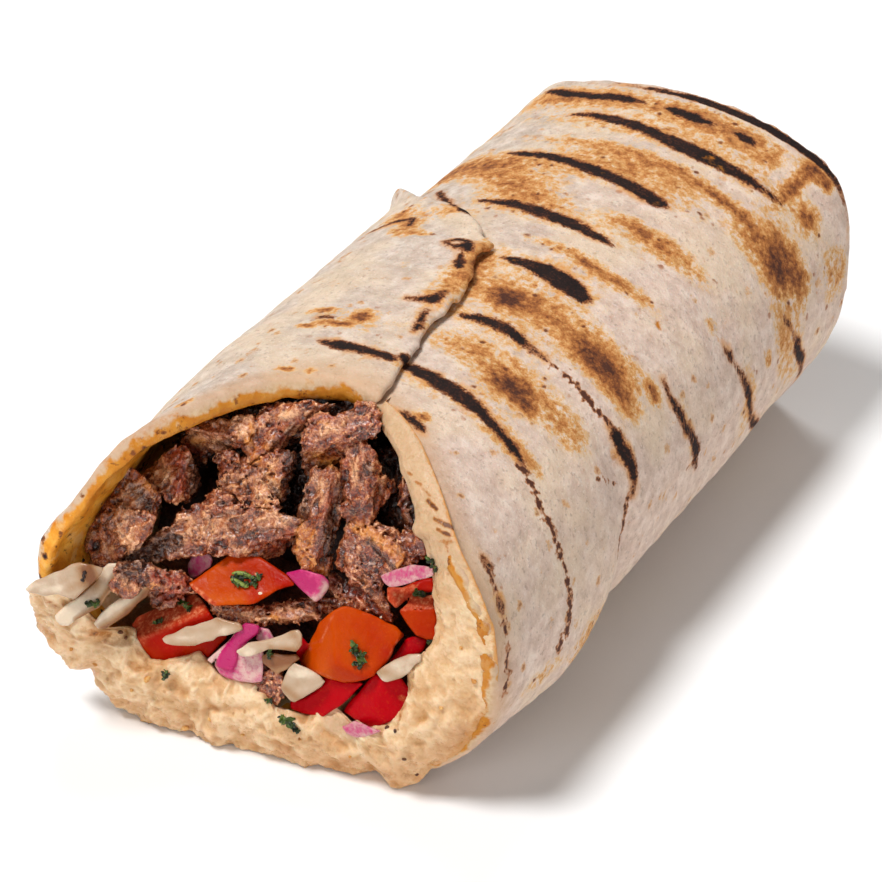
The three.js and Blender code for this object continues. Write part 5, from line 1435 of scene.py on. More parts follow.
# Onion: (CAD node, chunks). A chunk ends with how purple it is.
ONION = [
    ("onion_piece_1", [
        ([(13.2, 4.9), (15, 6.1), (17, 7.3), (18.2, 7.9), (20, 8.1), (21.2, 8), (21.6, 7.1), (20.5, 6.3),
          (19, 5.7), (17.5, 4.6), (16, 3.8), (14.9, 3.6), (13.9, 4)],
         [(17, 5.8, 8.1, 0.53, -0.1)], 1.8, 0.3),
    ]),
    ("onion_piece_2", [
        ([(-9.6, -11), (-10.5, -12.8), (-11.4, -14.5), (-11.6, -15.8), (-10.5, -16.9), (-9, -17.3),
          (-7, -17.3), (-5, -17), (-3.3, -16.3), (-3.5, -14.5), (-3.8, -12.5), (-3.9, -11)],
         [(-7, -14, 3.6, 0.05, 0.05)], 4, 0.3),
        ([(-8.2, -8.6), (-7.6, -7.9), (-6, -7.7), (-5.1, -7.9), (-5.3, -9), (-6.5, -10.3), (-7.6, -11.6),
          (-8.3, -12.6), (-8, -14.2), (-8.6, -16), (-11.2, -16), (-11.3, -14.5), (-10.2, -12.2),
          (-9.2, -10.2)],
         [(-8.5, -12, 4.2, 0, 0.02)], 2, 0.95),
        ([(-13, -15.3), (-12.2, -15.6), (-10.6, -12.8), (-9.4, -10.4), (-8.4, -8.9), (-8.8, -9.7),
          (-10.4, -12), (-11.8, -13.8)],
         [(-10.5, -12.5, 4.0, 0, 0)], 2, 0.0),
        ([(-5.2, -8), (-3.6, -7.9), (-2.3, -9.3), (-3.6, -10.4), (-5.6, -10)],
         [(-4, -9, 2.8, 0, 0)], 2, 0.35),
    ]),
    ("onion_piece_3", [
        ([(-2.3, 1.6), (-1, 2.2), (0, 2.7), (1.5, 2.7), (3.9, 2.6), (4.9, 2), (5.1, 1.2), (4.8, 0.2),
          (4.2, -0.9), (3.4, -1.7), (2.4, -1.3), (1, -0.6), (-0.3, 0.2), (-1.3, 0.9)],
         [(1, 1, 4.0, 0.1, 0.1), (3.4, 0.8, 4.1, -0.6, 0.1)], 2.6, 0.7),
    ]),
    ("onion_piece_4", [
        ([(11, -20.1), (12, -19.5), (13, -18.6), (14.5, -18.8), (16, -19), (17.5, -19.1), (16.5, -19.8),
          (15, -20.7), (13.5, -21.1), (12, -20.9)],
         [(14, -20, 3.0, 0.1, 0.5)], 2.5, 0.35),
    ]),
    ("onion_piece_5", [
        ([(-18.8, -1), (-18.3, 0.5), (-17.5, 1.2), (-15.5, 1.5), (-14.8, 0.7), (-15, -0.5), (-16, -1.5),
          (-17, -2.6), (-17.7, -3), (-18.5, -2.5)],
         [(-17, -0.5, 0.5, 0.1, 0)], 3, 0.4),
    ]),
]
ONION_PURPLE = [
    (14.5, 4.9, 19.5, 7.1, 0.8, 0.4), (-6.4, -8.4, -9.4, -12.2, 1.3, 0.9), (-9.6, -13, -9.4, -15.8, 1.3, 0.9),
    (-9, -10.4, -12.6, -15.6, 0.5, -0.9), (-6, -13, -5, -16.5, 1.6, -0.3), (-1, 1.6, 2.4, 0.4, 1.3, 0.9),
    (4.6, 0.9, 2.9, -1.0, 1.0, -1.5), (-17.6, -1.8, -17.4, -0.8, 0.9, 0.5),
    (11.6, -20.2, 16, -19.6, 0.6, 0.3),
]

# Cabbage: (CAD node, direction of its ribs in degrees, chunks). A chunk ends with how tan it is,
# and below 0 it is whiter, painted light on strips that lie in shade.
CABBAGE = [
    ("cabbage_strip_1", 25, [
        ([(-46, -11.8), (-45.5, -11), (-44.5, -9.9), (-43, -9), (-41.5, -7.8), (-40, -7), (-38.6, -5.9),
          (-37.2, -5.3), (-35, -5.1), (-33.2, -5.2), (-33.6, -6.2), (-34.5, -7.6), (-36, -9.6),
          (-37.2, -11.2), (-38.5, -11.2), (-40.5, -11.1), (-42.5, -12), (-44, -12), (-45.3, -12.1)],
         [(-40, -9, 14.4, -0.05, 0.05), (-36, -8, 14.2, -0.6, 0.2)], 2, 0.0),
    ]),
    ("cabbage_strip_2", 48, [
        ([(-39.8, -15.5), (-40.2, -14.8), (-38.5, -12.5), (-36.5, -10.8), (-35.3, -9.3), (-34.2, -7.5),
          (-33.2, -5.2), (-32.3, -4.2), (-30.2, -3.8), (-30.8, -5.2), (-30.3, -6.5), (-30.8, -7.5),
          (-32, -9.5), (-33, -11.5), (-34.5, -12.7), (-36.5, -14.5), (-37.7, -15.8), (-39, -16)],
         [(-35, -10, 11.2, -0.3, 0)], 2, -0.2),
    ]),
    ("cabbage_strip_3", 47, [
        ([(-33.3, -14.3), (-32.5, -12.8), (-31, -10.9), (-29.5, -9.3), (-28, -8.5), (-26.7, -7.7),
          (-25.8, -6.4), (-24.6, -6.5), (-25, -7.8), (-26.3, -9.3), (-27.6, -11.3), (-29.5, -13),
          (-31, -14.5), (-32.5, -15)],
         [(-29, -10.5, 8.6, -0.25, 0), (-28.5, -11.5, 8.6, -1.2, 0.9)], 2, -0.15),
    ]),
    ("cabbage_strip_4", 27, [
        ([(-21.2, -13.9), (-20.6, -13.2), (-19.3, -12.5), (-18.5, -11.7), (-17.5, -10.8), (-16.3, -10.4),
          (-15, -9.6), (-13.5, -8.7), (-12.5, -8), (-10.8, -8.2), (-9, -8.1), (-8.3, -8.2), (-7.8, -9),
          (-9, -9.9), (-10.3, -10.6), (-11.8, -11.1), (-12.5, -12.1), (-14, -12.8), (-15.5, -13.7),
          (-17.5, -14.1), (-19.5, -14.5), (-20.6, -14.5)],
         [(-14, -11, 5.2, 0, -0.1)], 1.8, 0.0),
    ]),
    ("cabbage_strip_5", 27, [
        ([(-8.6, -12.7), (-7.5, -11.8), (-6.5, -10.8), (-5, -10.2), (-3, -9.2), (-1.2, -8.2), (0.2, -7.3),
          (1.3, -6.9), (2, -7.5), (2.2, -9), (1.5, -10.3), (-1, -10.6), (-3, -11), (-4.5, -12), (-6, -12.8),
          (-7.5, -13.3)],
         [(-3, -10, 5.4, 0, -0.15)], 1.8, 0.0),
        ([(-4, -12.5), (-3, -11.5), (-0.5, -11.2), (1.5, -10.6), (2.3, -11.2), (1.6, -12), (0.8, -13.2),
          (-0.3, -14), (-1, -14.7), (-2.2, -14.2), (-3.6, -13.4)],
         [(-1, -12.5, 4.2, 0, 0.15)], 2, 0.45),
    ]),
    ("cabbage_strip_6", 30, [
        ([(0, -16.5), (0.3, -15), (0.8, -13.2), (1.6, -12.2), (3.2, -12.4), (6, -12.9), (7.2, -13.7),
          (6.6, -14.7), (5.3, -15.8), (3.8, -17.2), (2.6, -18.2), (1.8, -18.1), (0.6, -17.3)],
         [(3.5, -15, 4.0, 0, 0.15)], 2, 0.0),
    ]),
    ("cabbage_strip_7", 32, [
        ([(15.1, -10.2), (16.5, -8.8), (18, -7.6), (20, -6.2), (21.8, -5.7), (22, -6.5), (21, -7.5),
          (20.5, -8.8), (19.2, -10), (17, -11.2), (16.3, -11.1)],
         [(18.5, -8.5, 5.8, 0, 0)], 1.8, 0.0),
    ]),
]
CABBAGE_TAN = [
    (-36, -6, -34.4, -7.6, 1.5, 0.8), (-38.5, -9.6, -36.5, -8.4, 1.2, 0.3),
    (-30.6, -6, -32.8, -10.8, 0.7, 0.8), (-36.4, -14.6, -33, -11.4, 0.6, 0.9),
    (-24.8, -6.8, -27.4, -11, 0.8, 0.9), (-27.4, -11, -31.6, -14.8, 0.8, 0.9),
    (-12, -8.4, -8.4, -8.6, 0.8, 0.35), (0.6, -7.4, 1.8, -8.8, 0.9, 0.4),
    (-3.4, -13, 1.8, -11, 1.1, 0.5), (0.8, -16.5, 3, -17.6, 0.7, 0.35), (15.6, -9.9, 19, -10, 0.7, 0.3),
    (-3, -10.6, 1, -10.2, 0.5, 0.35), (-19.5, -14, -15.5, -13.5, 0.6, 0.25),
]


# The grid's step, and how softly a chunk's outline is rounded
TOMATO_STEP, TOMATO_EDGE = 0.32, 0.28
ONION_STEP, ONION_EDGE = 0.3, 0.3
CABBAGE_STEP, CABBAGE_EDGE = 0.32, 0.3


def of_part(parts, owner, place):
    """The number that stands at a place in each point's own chunk."""
    return np.array([part[place] for part in parts])[owner]


def smooth_detail(seed, size, depth):
    return lambda places: depth * noise(places, size, seed, 3)


def build_tomato(material):
    heap = Heap()
    for seed, (name, parts) in enumerate(TOMATO):
        detail = smooth_detail(seed + 70, 2.6, 0.09)
        points, faces, spots, owner = sculpt(parts, TOMATO_STEP, TOMATO_EDGE, detail)
        red = of_part(parts, owner, 3) + 0.5 * strokes_field(spots, TOMATO_RED_AND_SHADE)
        cut_and_highlight = np.maximum(of_part(parts, owner, 4), strokes_field(spots, TOMATO_CUT_AND_HIGHLIGHT))
        heap.add(points, faces, {"red": red, "cut_and_highlight": cut_and_highlight})
    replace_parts(heap.piece("tomato", "tomato", material), *[name for name, _ in TOMATO])


def build_onion(material):
    heap = Heap()
    for seed, (name, parts) in enumerate(ONION):
        detail = smooth_detail(seed + 80, 2.4, 0.12)
        points, faces, spots, owner = sculpt(parts, ONION_STEP, ONION_EDGE, detail)
        purple = of_part(parts, owner, 3) + 0.6 * strokes_field(spots, ONION_PURPLE)
        heap.add(points, faces, {"purple": purple})
    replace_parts(heap.piece("onion", "onion", material), *[name for name, _ in ONION])


def build_cabbage(material):
    heap = Heap()
    for seed, (name, direction, parts) in enumerate(CABBAGE):

        def detail(places, direction=direction, seed=seed):
            ribs = noise(grained(places, direction, 5), 1.6, seed + 90, 2)
            return 0.2 * noise(places, 4, seed + 95, 2) + 0.12 * ribs

        points, faces, spots, owner = sculpt(parts, CABBAGE_STEP, CABBAGE_EDGE, detail)
        tan = of_part(parts, owner, 3) + strokes_field(spots, CABBAGE_TAN)
        ribs = noise(grained(mouth_places(points), direction, 5), 1.1, seed + 99, 2)
        heap.add(points, faces, {"tan": tan, "ribs": ribs})
    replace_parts(heap.piece("cabbage", "cabbage", material), *[name for name, *_ in CABBAGE])


# ---- Fillings: their run through the roll ----

CORE_SET_BACK = 12.5
CORE_SPLIT = 24.0
CORE_COLUMNS = 150
CORE_FRONT_RINGS = 34
CORE_LENGTH_RINGS = 60


def core_front(points):
    rise = points[..., 2] - MOUTH_CENTRE[2]
    return MOUTH_CENTRE[1] + CORE_SET_BACK + SLOPE_UP * rise + SLOPE_ACROSS * points[..., 0]


def build_core(name, node, lowest, highest, material, seed):
    """The fillings between two heights, from behind the pieces that show to the far end."""
    angles = np.linspace(0, 360, CORE_COLUMNS, endpoint=False)
    deep = WALL + 4 * GAP + hummus_thickness(np.where(angles < HUMMUS_FROM, angles + 360, angles))
    edge = roll_point(0.0 * angles, angles, -deep)
    edge[:, 2] = np.clip(edge[:, 2], lowest, highest)
    middle = np.array([0, 0, (lowest + highest) / 2]) + ROLL_ORIGIN
    middle[1] = 0.0
    rows = []
    for reach in np.linspace(0.03, 0.97, CORE_FRONT_RINGS):
        ring = mix(middle, edge, reach)
        ring[:, 1] = core_front(ring)
        rows.append(ring)
    front = core_front(edge)
    for share in np.linspace(0.02, 1, CORE_LENGTH_RINGS) ** 1.6:
        ring = edge.copy()
        ring[:, 1] = mix(front, FILLING_END, share)
        rows.append(ring)
    for reach in (0.7, 0.35):
        ring = mix(middle, edge, reach)
        ring[:, 1] = FILLING_END
        rows.append(ring)
    rows = np.stack(rows)
    lumps = 0.9 * noise(rows, 5.5, seed, 2) - 1.1 * cells(rows, 3.6, seed + 3) + 0.6
    inward = unit_rows(middle + [0, 1, 0] * rows - rows)
    facing = smooth(rows[..., 1] - core_front(rows), 2.5, 0.0)[..., None]
    push = mix(-0.6 * inward, np.array([0, -1.6, 0]), facing)
    rows = rows + push * lumps[..., None]
    first = np.array([middle[0], core_front(middle), middle[2]])
    last = np.array([middle[0], FILLING_END, middle[2]])
    points, faces, _ = loft(rows, first, last)
    floats = {"relief": np.concatenate([lumps.ravel(), [0, 0]])}
    piece = make_piece(name, points, faces, material, floats)
    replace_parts(piece, node)


# ---- Parsley and crumbs, laid on what the camera sees ----

# Chopped leaves: (across, up, length, turn in degrees)
PARSLEY = [
    (-9.6, -0.9, 3.6, 10), (-7.4, -1.0, 2.4, 60), (-6.8, -0.3, 2.0, 110), (-9.2, -2.0, 2.6, 5),
    (11, -7.4, 3.0, 60), (12.4, -8.8, 3.0, 160), (11.7, -9.6, 1.8, 20), (-18.8, -7.3, 2.6, 120),
    (-17.6, -7.8, 2.2, 20), (-22.3, -11.4, 2.0, 50), (3.6, -7.0, 2.6, 60), (3.0, -6.6, 1.6, 150),
    (20, 3.3, 2.6, 20), (19.4, 8.8, 1.8, 150), (21.0, 9.2, 2.2, 30), (-34.2, -11.2, 2.4, 20),
    (-33.2, -10.8, 1.4, 80), (-19.5, -19.3, 2.2, 170), (2.2, -21.6, 3.4, 20), (3.4, -22.2, 2.2, 120),
    (0.9, -21.4, 1.6, 60), (-1.6, -18.9, 1.6, 40), (23, -3, 1.4, 0), (-2.7, -11.8, 1.8, 20),
    (12.6, -7.9, 1.4, 90), (21.9, 8.2, 1.2, 80),
]
STEMS = [(-9.3, -0.5, 3.4, 8), (-9.6, -1.9, 3.0, 2)]

# Small scraps: (across, up, diameter, brownness from golden 0 to near black 1)
CRUMBS = [
    (-15, -27, 1.6, 0.1), (-22.7, -21, 1.5, 0.1), (-32, -20.8, 1.2, 0.2), (31, -7.5, 1.2, 0.2),
    (18.4, -18.3, 1.0, 0.8), (19.8, -18.5, 0.8, 0.8), (22, -22.5, 0.9, 0.7), (24.5, -24.3, 0.8, 0.7),
    (-36.9, -4.7, 0.9, 1.0), (-7, 0.2, 0.7, -0.4), (-6, -2.6, 0.7, -0.4), (14.4, -1.5, 0.6, -0.4),
    (-32.3, -12, 0.7, 0.9), (-28.5, -14.6, 1.0, 0.7), (-27.4, -15.3, 0.8, 0.6), (4.5, -23.8, 0.8, 0.3),
    (-5, -25.6, 0.9, 0.1), (13.2, -24.4, 0.8, 0.2), (-11, -24.6, 0.9, 0.1), (26.5, -13, 0.9, 0.1),
    (-36.2, -6.6, 0.9, 1.0), (-36.3, -7.2, 1.0, 1.0), (-36.4, -7.9, 0.8, 1.0), (-36.5, -19.4, 0.9, 0.2),
    (-3.6, -17.8, 0.9, 0.7), (28, -3, 0.8, 0.1), (-25, -23.4, 0.9, 0.1),
]


SHOWN_PIECES = (
    "bread", "hummus_spread", "beef_left", "beef_top", "beef_right", "tomato", "onion", "cabbage",
)
LEAF_COLUMNS, LEAF_HALF_THICKNESS = 22, 0.11
STEM_RADIUS, STEM_ROWS, STEM_COLUMNS, STEM_TONE = 0.34, 9, 10, 1.4
CRUMB_ROWS, CRUMB_COLUMNS = 9, 14


def shown_surface():
    """A tree of every face that the camera may see."""
    points, faces, count = [], [], 0
    for item in bpy.context.scene.objects:
        if item.type == "MESH" and item.name in SHOWN_PIECES:
            mesh = item.data
            flat = np.empty(len(mesh.vertices) * 3, np.float32)
            mesh.vertices.foreach_get("co", flat)
            points.append(flat.reshape(-1, 3).astype(float) / MM)
            faces += [[corner + count for corner in face.vertices] for face in mesh.polygons]
            count += len(mesh.vertices)
    return BVHTree.FromPolygons(np.concatenate(points).tolist(), faces)


def seat(tree, across, up):
    """Where the line of sight meets the surface, and three directions: along, across and out.

    A line that just misses the surface is drawn in towards the middle until it meets it.
    """
    for reach in np.linspace(1, 0.8, 11):
        flat = mix(HUMMUS_HUB, np.array([across, up]), reach)
        aim = sight_point(np.array([*flat, 0.0]))
        direction = unit(aim - CAMERA_PLACE)
        place, normal, _, _ = tree.ray_cast(Vector(CAMERA_PLACE), Vector(direction))
        if place is not None:
            break
    out = unit(0.5 * unit(np.array(normal)) - 0.5 * direction)
    along = unit(MOUTH_ACROSS - (MOUTH_ACROSS @ out) * out)
    return np.array(place), along, np.cross(out, along), out


def leaflet(length, seed):
    """A curled scrap of leaf with ragged lobes, in its own frame."""
    shares = (0.3, 0.62, 1.0)
    turn = np.linspace(0, 2 * np.pi, LEAF_COLUMNS, endpoint=False)
    ring = np.stack([np.cos(turn), np.sin(turn), 0 * turn + seed * 3.1], -1)
    lobes = 0.16 * np.cos(3 * turn + seed) + 0.5 * noise(ring * 1.9, 1.0, 200 + seed, 3)
    reach = 0.5 * length * np.maximum(0.7 + lobes, 0.3)
    rows = []
    upper = [(share, LEAF_HALF_THICKNESS) for share in shares]
    lower = [(share, -LEAF_HALF_THICKNESS) for share in shares[::-1]]
    for share, height in upper + lower:
        x = reach * share * np.cos(turn)
        y = 0.66 * reach * share * np.sin(turn)
        curl = 0.16 * length * share**2 * np.sin(2 * turn + 1.7 * seed) + 0.1 * length * share
        rows.append(np.stack([x, y, curl + height], -1))
    top = np.array([0, 0, LEAF_HALF_THICKNESS])
    return loft(np.stack(rows), top, -top)[:2]


def stem(length, seed):
    turn = np.linspace(0, 2 * np.pi, STEM_COLUMNS, endpoint=False)
    rows = []
    for step in np.linspace(0, 1, STEM_ROWS):
        radius = STEM_RADIUS * (1 - 0.5 * abs(2 * step - 1) ** 5)
        middle = np.array([length * (step - 0.5), 0.25 * np.sin(4 * step + seed), 0.25])
        rows.append(middle + radius * np.stack([0 * turn, np.cos(turn), np.sin(turn)], -1))
    return capped(np.stack(rows))[:2]


def crumb(diameter, seed):
    turn = np.linspace(0, 2 * np.pi, CRUMB_COLUMNS, endpoint=False)
    rows = []
    for tilt in np.linspace(12, 168, CRUMB_ROWS):
        circle = np.stack([np.cos(turn), np.sin(turn), 0 * turn], -1) * np.sin(np.radians(tilt))
        circle[:, 2] = np.cos(np.radians(tilt))
        rows.append(circle)
    rows = np.stack(rows)
    reach = 0.5 * diameter * (1 + 0.45 * noise(rows + 7.7 * seed, 0.8, 300 + seed, 2))
    rows = rows * reach[..., None] * np.array([1, 0.8, 0.7])
    return capped(rows)[:2]


def placed(points, turn, at, along, across, out, height):
    a = np.radians(turn)
    x = points[:, 0] * np.cos(a) - points[:, 1] * np.sin(a)
    y = points[:, 0] * np.sin(a) + points[:, 1] * np.cos(a)
    return at + x[:, None] * along + y[:, None] * across + (points[:, 2] + height)[:, None] * out


def build_parsley(tree, material):
    heap = Heap()
    for seed, (across, up, length, turn) in enumerate(PARSLEY):
        place, *axes = seat(tree, across, up)
        for leaf in range(3):
            points, faces = leaflet(length * (0.85, 0.6, 0.5)[leaf], 3 * seed + leaf)
            shift = 0.28 * length * np.array([np.cos(2.1 * leaf + seed), np.sin(2.1 * leaf + seed)])
            points[:, :2] += shift * (leaf > 0)
            points = placed(points, turn + 70 * leaf, place, *axes, 0.18 + 0.16 * leaf)
            tone = (seed * 0.37 + 0.3 * leaf) % 1.0
            heap.add(points, faces, {"tone": np.full(len(points), tone)})
    for seed, (across, up, length, turn) in enumerate(STEMS):
        place, *axes = seat(tree, across, up)
        points, faces = stem(length, seed)
        points = placed(points, turn, place, *axes, 0.3)
        heap.add(points, faces, {"tone": np.full(len(points), STEM_TONE)})
    heap.piece("parsley", "salad", material)


def build_crumbs(tree, material):
    heap = Heap()
    for seed, (across, up, diameter, brownness) in enumerate(CRUMBS):
        place, *axes = seat(tree, across, up)
        points, faces = crumb(0.8 * diameter, seed)
        points = placed(points, 57 * seed, place, *axes, 0.02 * diameter)
        heap.add(points, faces, {"tone": np.full(len(points), brownness)})
    heap.piece("crumbs", "beef", material)


# ---- Materials ----


def linear(red, green, blue):
    """A display colour, 0 to 255, as the linear colour that shaders take."""
    share = np.array([red, green, blue]) / 255
    value = np.where(share <= 0.04045, share / 12.92, ((share + 0.055) / 1.055) ** 2.4)
    return (*value.tolist(), 1.0)


class Shader:
    """A small helper that builds one node material, with textures sized in millimetres."""

    def __init__(self, name):
        self.material = bpy.data.materials.new(name)
        self.material.use_nodes = True
        self.tree = self.material.node_tree
        self.surface = self.tree.nodes["Principled BSDF"]
        self.place = self.add("ShaderNodeTexCoord").outputs["Object"]

    def add(self, kind, **settings):
        node = self.tree.nodes.new(kind)
        for key, value in settings.items():
            setattr(node, key, value)
        return node

    def put(self, socket, value):
        if isinstance(value, bpy.types.NodeSocket):
            self.tree.links.new(value, socket)
        else:
            socket.default_value = value

    def attribute(self, name):
        return self.add("ShaderNodeAttribute", attribute_name=name).outputs["Fac"]

    def attributes(self, *names):
        return [self.attribute(name) for name in names]

    def noise(self, size, detail=3.0, roughness=0.55, distortion=0.0):
        """Noise from 0 to 1 whose features are about size millimetres across."""
        node = self.add("ShaderNodeTexNoise")
        self.put(node.inputs["Vector"], self.place)
        node.inputs["Scale"].default_value = 1 / (size * MM)
        node.inputs["Detail"].default_value = detail
        node.inputs["Roughness"].default_value = roughness
        node.inputs["Distortion"].default_value = distortion
        return node.outputs["Fac"]

    def spots(self, size):
        """Distance from scattered points, one to each cell of that size, in cell sizes."""
        node = self.add("ShaderNodeTexVoronoi")
        self.put(node.inputs["Vector"], self.place)
        node.inputs["Scale"].default_value = 1 / (size * MM)
        return node.outputs["Distance"]

    def math(self, operation, first, second=0.0, third=0.0):
        node = self.add("ShaderNodeMath", operation=operation)
        self.put(node.inputs[0], first)
        self.put(node.inputs[1], second)
        self.put(node.inputs[2], third)
        return node.outputs[0]

    def product(self, first, second):
        return self.math("MULTIPLY", first, second)

    def vary(self, value, noise, amount, middle=0.5):
        """A value that noise moves up and down, by the amount for each 1 away from its middle."""
        return self.math("MULTIPLY_ADD", self.math("SUBTRACT", noise, middle), amount, value)

    def ramp(self, value, low, high, start=0.0, end=1.0):
        """Goes smoothly from start to end while value goes from low to high."""
        node = self.add("ShaderNodeMapRange", interpolation_type="SMOOTHSTEP")
        self.put(node.inputs["Value"], value)
        node.inputs["From Min"].default_value = low
        node.inputs["From Max"].default_value = high
        node.inputs["To Min"].default_value = start
        node.inputs["To Max"].default_value = end
        return node.outputs["Result"]

    def colours(self, value, stops):
        """Colours by value: stops is a list of (value, (red, green, blue))."""
        node = self.add("ShaderNodeValToRGB")
        self.put(node.inputs["Fac"], value)
        while len(node.color_ramp.elements) < len(stops):
            node.color_ramp.elements.new(0.5)
        for element, (position, colour) in zip(node.color_ramp.elements, stops):
            element.position = position
            element.color = linear(*colour)
        return node.outputs["Color"]

    def blend(self, share, under, over):
        """Under where share is 0 and over where it is 1."""
        node = self.add("ShaderNodeMix", data_type="RGBA", clamp_factor=True)
        colour_inputs = [socket for socket in node.inputs if socket.type == "RGBA"]
        self.put(node.inputs["Factor"], share)
        self.put(colour_inputs[0], linear(*under) if isinstance(under, tuple) else under)
        self.put(colour_inputs[1], linear(*over) if isinstance(over, tuple) else over)
        return next(socket for socket in node.outputs if socket.type == "RGBA")

    def bump(self, height, depth, under=None):
        """A bump whose height of 1 is depth millimetres."""
        node = self.add("ShaderNodeBump")
        node.inputs["Strength"].default_value = 1.0
        node.inputs["Distance"].default_value = depth * MM
        self.put(node.inputs["Height"], height)
        if under is not None:
            self.put(node.inputs["Normal"], under)
        return node.outputs["Normal"]

    def finish(self, colour, roughness, normal=None, **constants):
        """The material. Constants are inputs of its surface by name, with _ for a space."""
        self.put(self.surface.inputs["Base Color"], colour)
        self.put(self.surface.inputs["Roughness"], roughness)
        if normal is not None:
            self.put(self.surface.inputs["Normal"], normal)
        for key, value in constants.items():
            self.surface.inputs[key.replace("_", " ")].default_value = value
        return self.material


def bread_material():
    shader = Shader("bread")
    char, trail, toast, singe = shader.attributes("char", "trail", "toast", "singe")
    region, rim, angle = shader.attributes("region", "rim", "angle")

    broad = shader.noise(14, 2)
    patch = shader.noise(5.0, 3, 0.6)
    mottle = shader.noise(2.6, 4, 0.6)
    grain = shader.noise(0.9, 3, 0.6)
    fine = shader.noise(0.4, 2, 0.5)

    # Pale skin with grey specks. Its colour differs by side: brighter and pinker low on the right, which the
    # lamps light less, and greyer and darker on the top and left, which they light more: painted light and
    # painted shade that even out the lamps
    dull = shader.colours(mottle, [(0.3, (196, 168, 151)), (0.5, (214, 188, 171)), (0.68, (228, 206, 190))])
    pale = shader.colours(mottle, [(0.3, (178, 158, 142)), (0.5, (197, 178, 162)), (0.68, (216, 200, 186))])
    skin = shader.blend(shader.ramp(angle, 50, 125), dull, pale)
    skin = shader.blend(shader.ramp(broad, 0.42, 0.66, 0.0, 0.45), skin, (226, 200, 166))
    skin = shader.blend(shader.ramp(grain, 0.56, 0.7, 0.0, 0.45), skin, (150, 124, 110))
    skin = shader.blend(shader.ramp(fine, 0.58, 0.7, 0.0, 0.3), skin, (240, 230, 222))

    near_rim = shader.product(rim, shader.ramp(angle, 165, 145, 0.0, 0.6))
    skin = shader.blend(near_rim, skin, (192, 148, 108))

    # Small toasted spots of ragged shape
    spot = shader.vary(shader.spots(5.2), grain, 0.5)
    skin = shader.blend(shader.ramp(spot, 0.2, 0.08, 0.0, 0.75), skin, (206, 152, 96))
    skin = shader.blend(shader.ramp(spot, 0.1, 0.0, 0.0, 0.8), skin, (146, 90, 54))

    # Clouds of toasting
    cloud = shader.math("MULTIPLY_ADD", shader.noise(1.5, 6, 0.75), 1.8, -0.91)
    heat = shader.math("MULTIPLY_ADD", cloud, shader.ramp(toast, 0.02, 0.3), toast)
    toasted = shader.colours(
        heat,
        [
            (0.1, (226, 194, 148)),
            (0.3, (212, 158, 98)),
            (0.5, (184, 118, 60)),
            (0.72, (134, 76, 38)),
            (0.95, (76, 40, 26)),
        ],
    )
    skin = shader.blend(shader.ramp(heat, 0.08, 0.3), skin, toasted)
    freckle = shader.vary(shader.spots(2.7), grain, 0.5)
    freckle = shader.math("ADD", freckle, shader.ramp(patch, 0.6, 0.42, 0.0, 0.3))
    freckled = shader.product(shader.ramp(freckle, 0.3, 0.14), shader.ramp(toast, 0.01, 0.12, 0.0, 0.7))
    skin = shader.blend(freckled, skin, (158, 90, 42))
    scorched = shader.product(shader.ramp(freckle, 0.2, 0.08), shader.ramp(toast, 0.06, 0.2, 0.0, 0.85))
    skin = shader.blend(scorched, skin, (92, 46, 26))

    # Grill marks: here and there a golden halo, a brown margin and a nearly black middle
    edge = shader.vary(shader.vary(char, fine, 1.0), shader.noise(1.7, 4, 0.7), 2.4)
    halo = shader.vary(char, patch, 5.0, 0.54)
    skin = shader.blend(shader.ramp(halo, -1.6, 0.3, 0.0, 0.85), skin, (208, 146, 84))
    skin = shader.blend(shader.ramp(edge, -0.7, 0.0), skin, (134, 74, 38))
    burnt_tone = shader.math("MULTIPLY_ADD", mottle, 0.5, shader.product(fine, 0.5))
    burnt = shader.colours(burnt_tone, [(0.38, (16, 5, 3)), (0.55, (36, 14, 8)), (0.68, (84, 42, 22))])
    skin = shader.blend(shader.ramp(edge, -0.2, 0.3), skin, burnt)

    dots = shader.vary(trail, shader.noise(1.1, 2, 0.5), 3.6, 0.514)
    skin = shader.blend(shader.ramp(dots, -0.4, 0.1), skin, (176, 118, 78))
    skin = shader.blend(shader.ramp(dots, 0.0, 0.4), skin, (84, 46, 32))

    # The rim, where the bread's pale inside shows
    crumb = shader.colours(grain, [(0.35, (192, 156, 112)), (0.6, (212, 184, 148))])
    skin = shader.blend(shader.product(rim, shader.ramp(region, 0.98, 0.6)), skin, crumb)

    # The inner wall, oily and mustard yellow with brown blotches
    wall = shader.colours(mottle, [(0.32, (204, 122, 26)), (0.5, (228, 152, 44)), (0.7, (242, 182, 80))])
    wall = shader.blend(shader.ramp(shader.noise(3.2, 4, 0.6), 0.56, 0.66, 0.0, 0.6), wall, (236, 190, 120))
    wall = shader.blend(shader.ramp(angle, 165, 130, 0.0, 0.55), wall, (164, 96, 20))
    wall = shader.blend(shader.ramp(shader.noise(2.0, 5, 0.7), 0.57, 0.66), wall, (124, 66, 20))
    depth = shader.vary(shader.vary(region, mottle, 0.8), patch, 0.9)
    depth = shader.math("SUBTRACT", depth, shader.ramp(angle, 90, 165, 0.0, 0.14))
    skin = shader.blend(shader.ramp(depth, 0.8, 0.6), skin, wall)
    singed = shader.vary(singe, grain, 0.8)
    skin = shader.blend(shader.ramp(singed, 0.25, 0.5), skin, (128, 70, 28))
    skin = shader.blend(shader.ramp(singed, 0.5, 0.8), skin, (38, 20, 14))

    rough = shader.ramp(region, 0.3, 0.8, 0.4, 0.82)
    height = shader.math("MULTIPLY_ADD", shader.ramp(edge, -0.3, 0.3), -0.6, mottle)
    normal = shader.bump(height, 0.3)
    normal = shader.bump(grain, 0.14, normal)
    return shader.finish(
        skin, rough, normal, Subsurface_Weight=0.1, Subsurface_Scale=0.0015, Specular_IOR_Level=0.3
    )


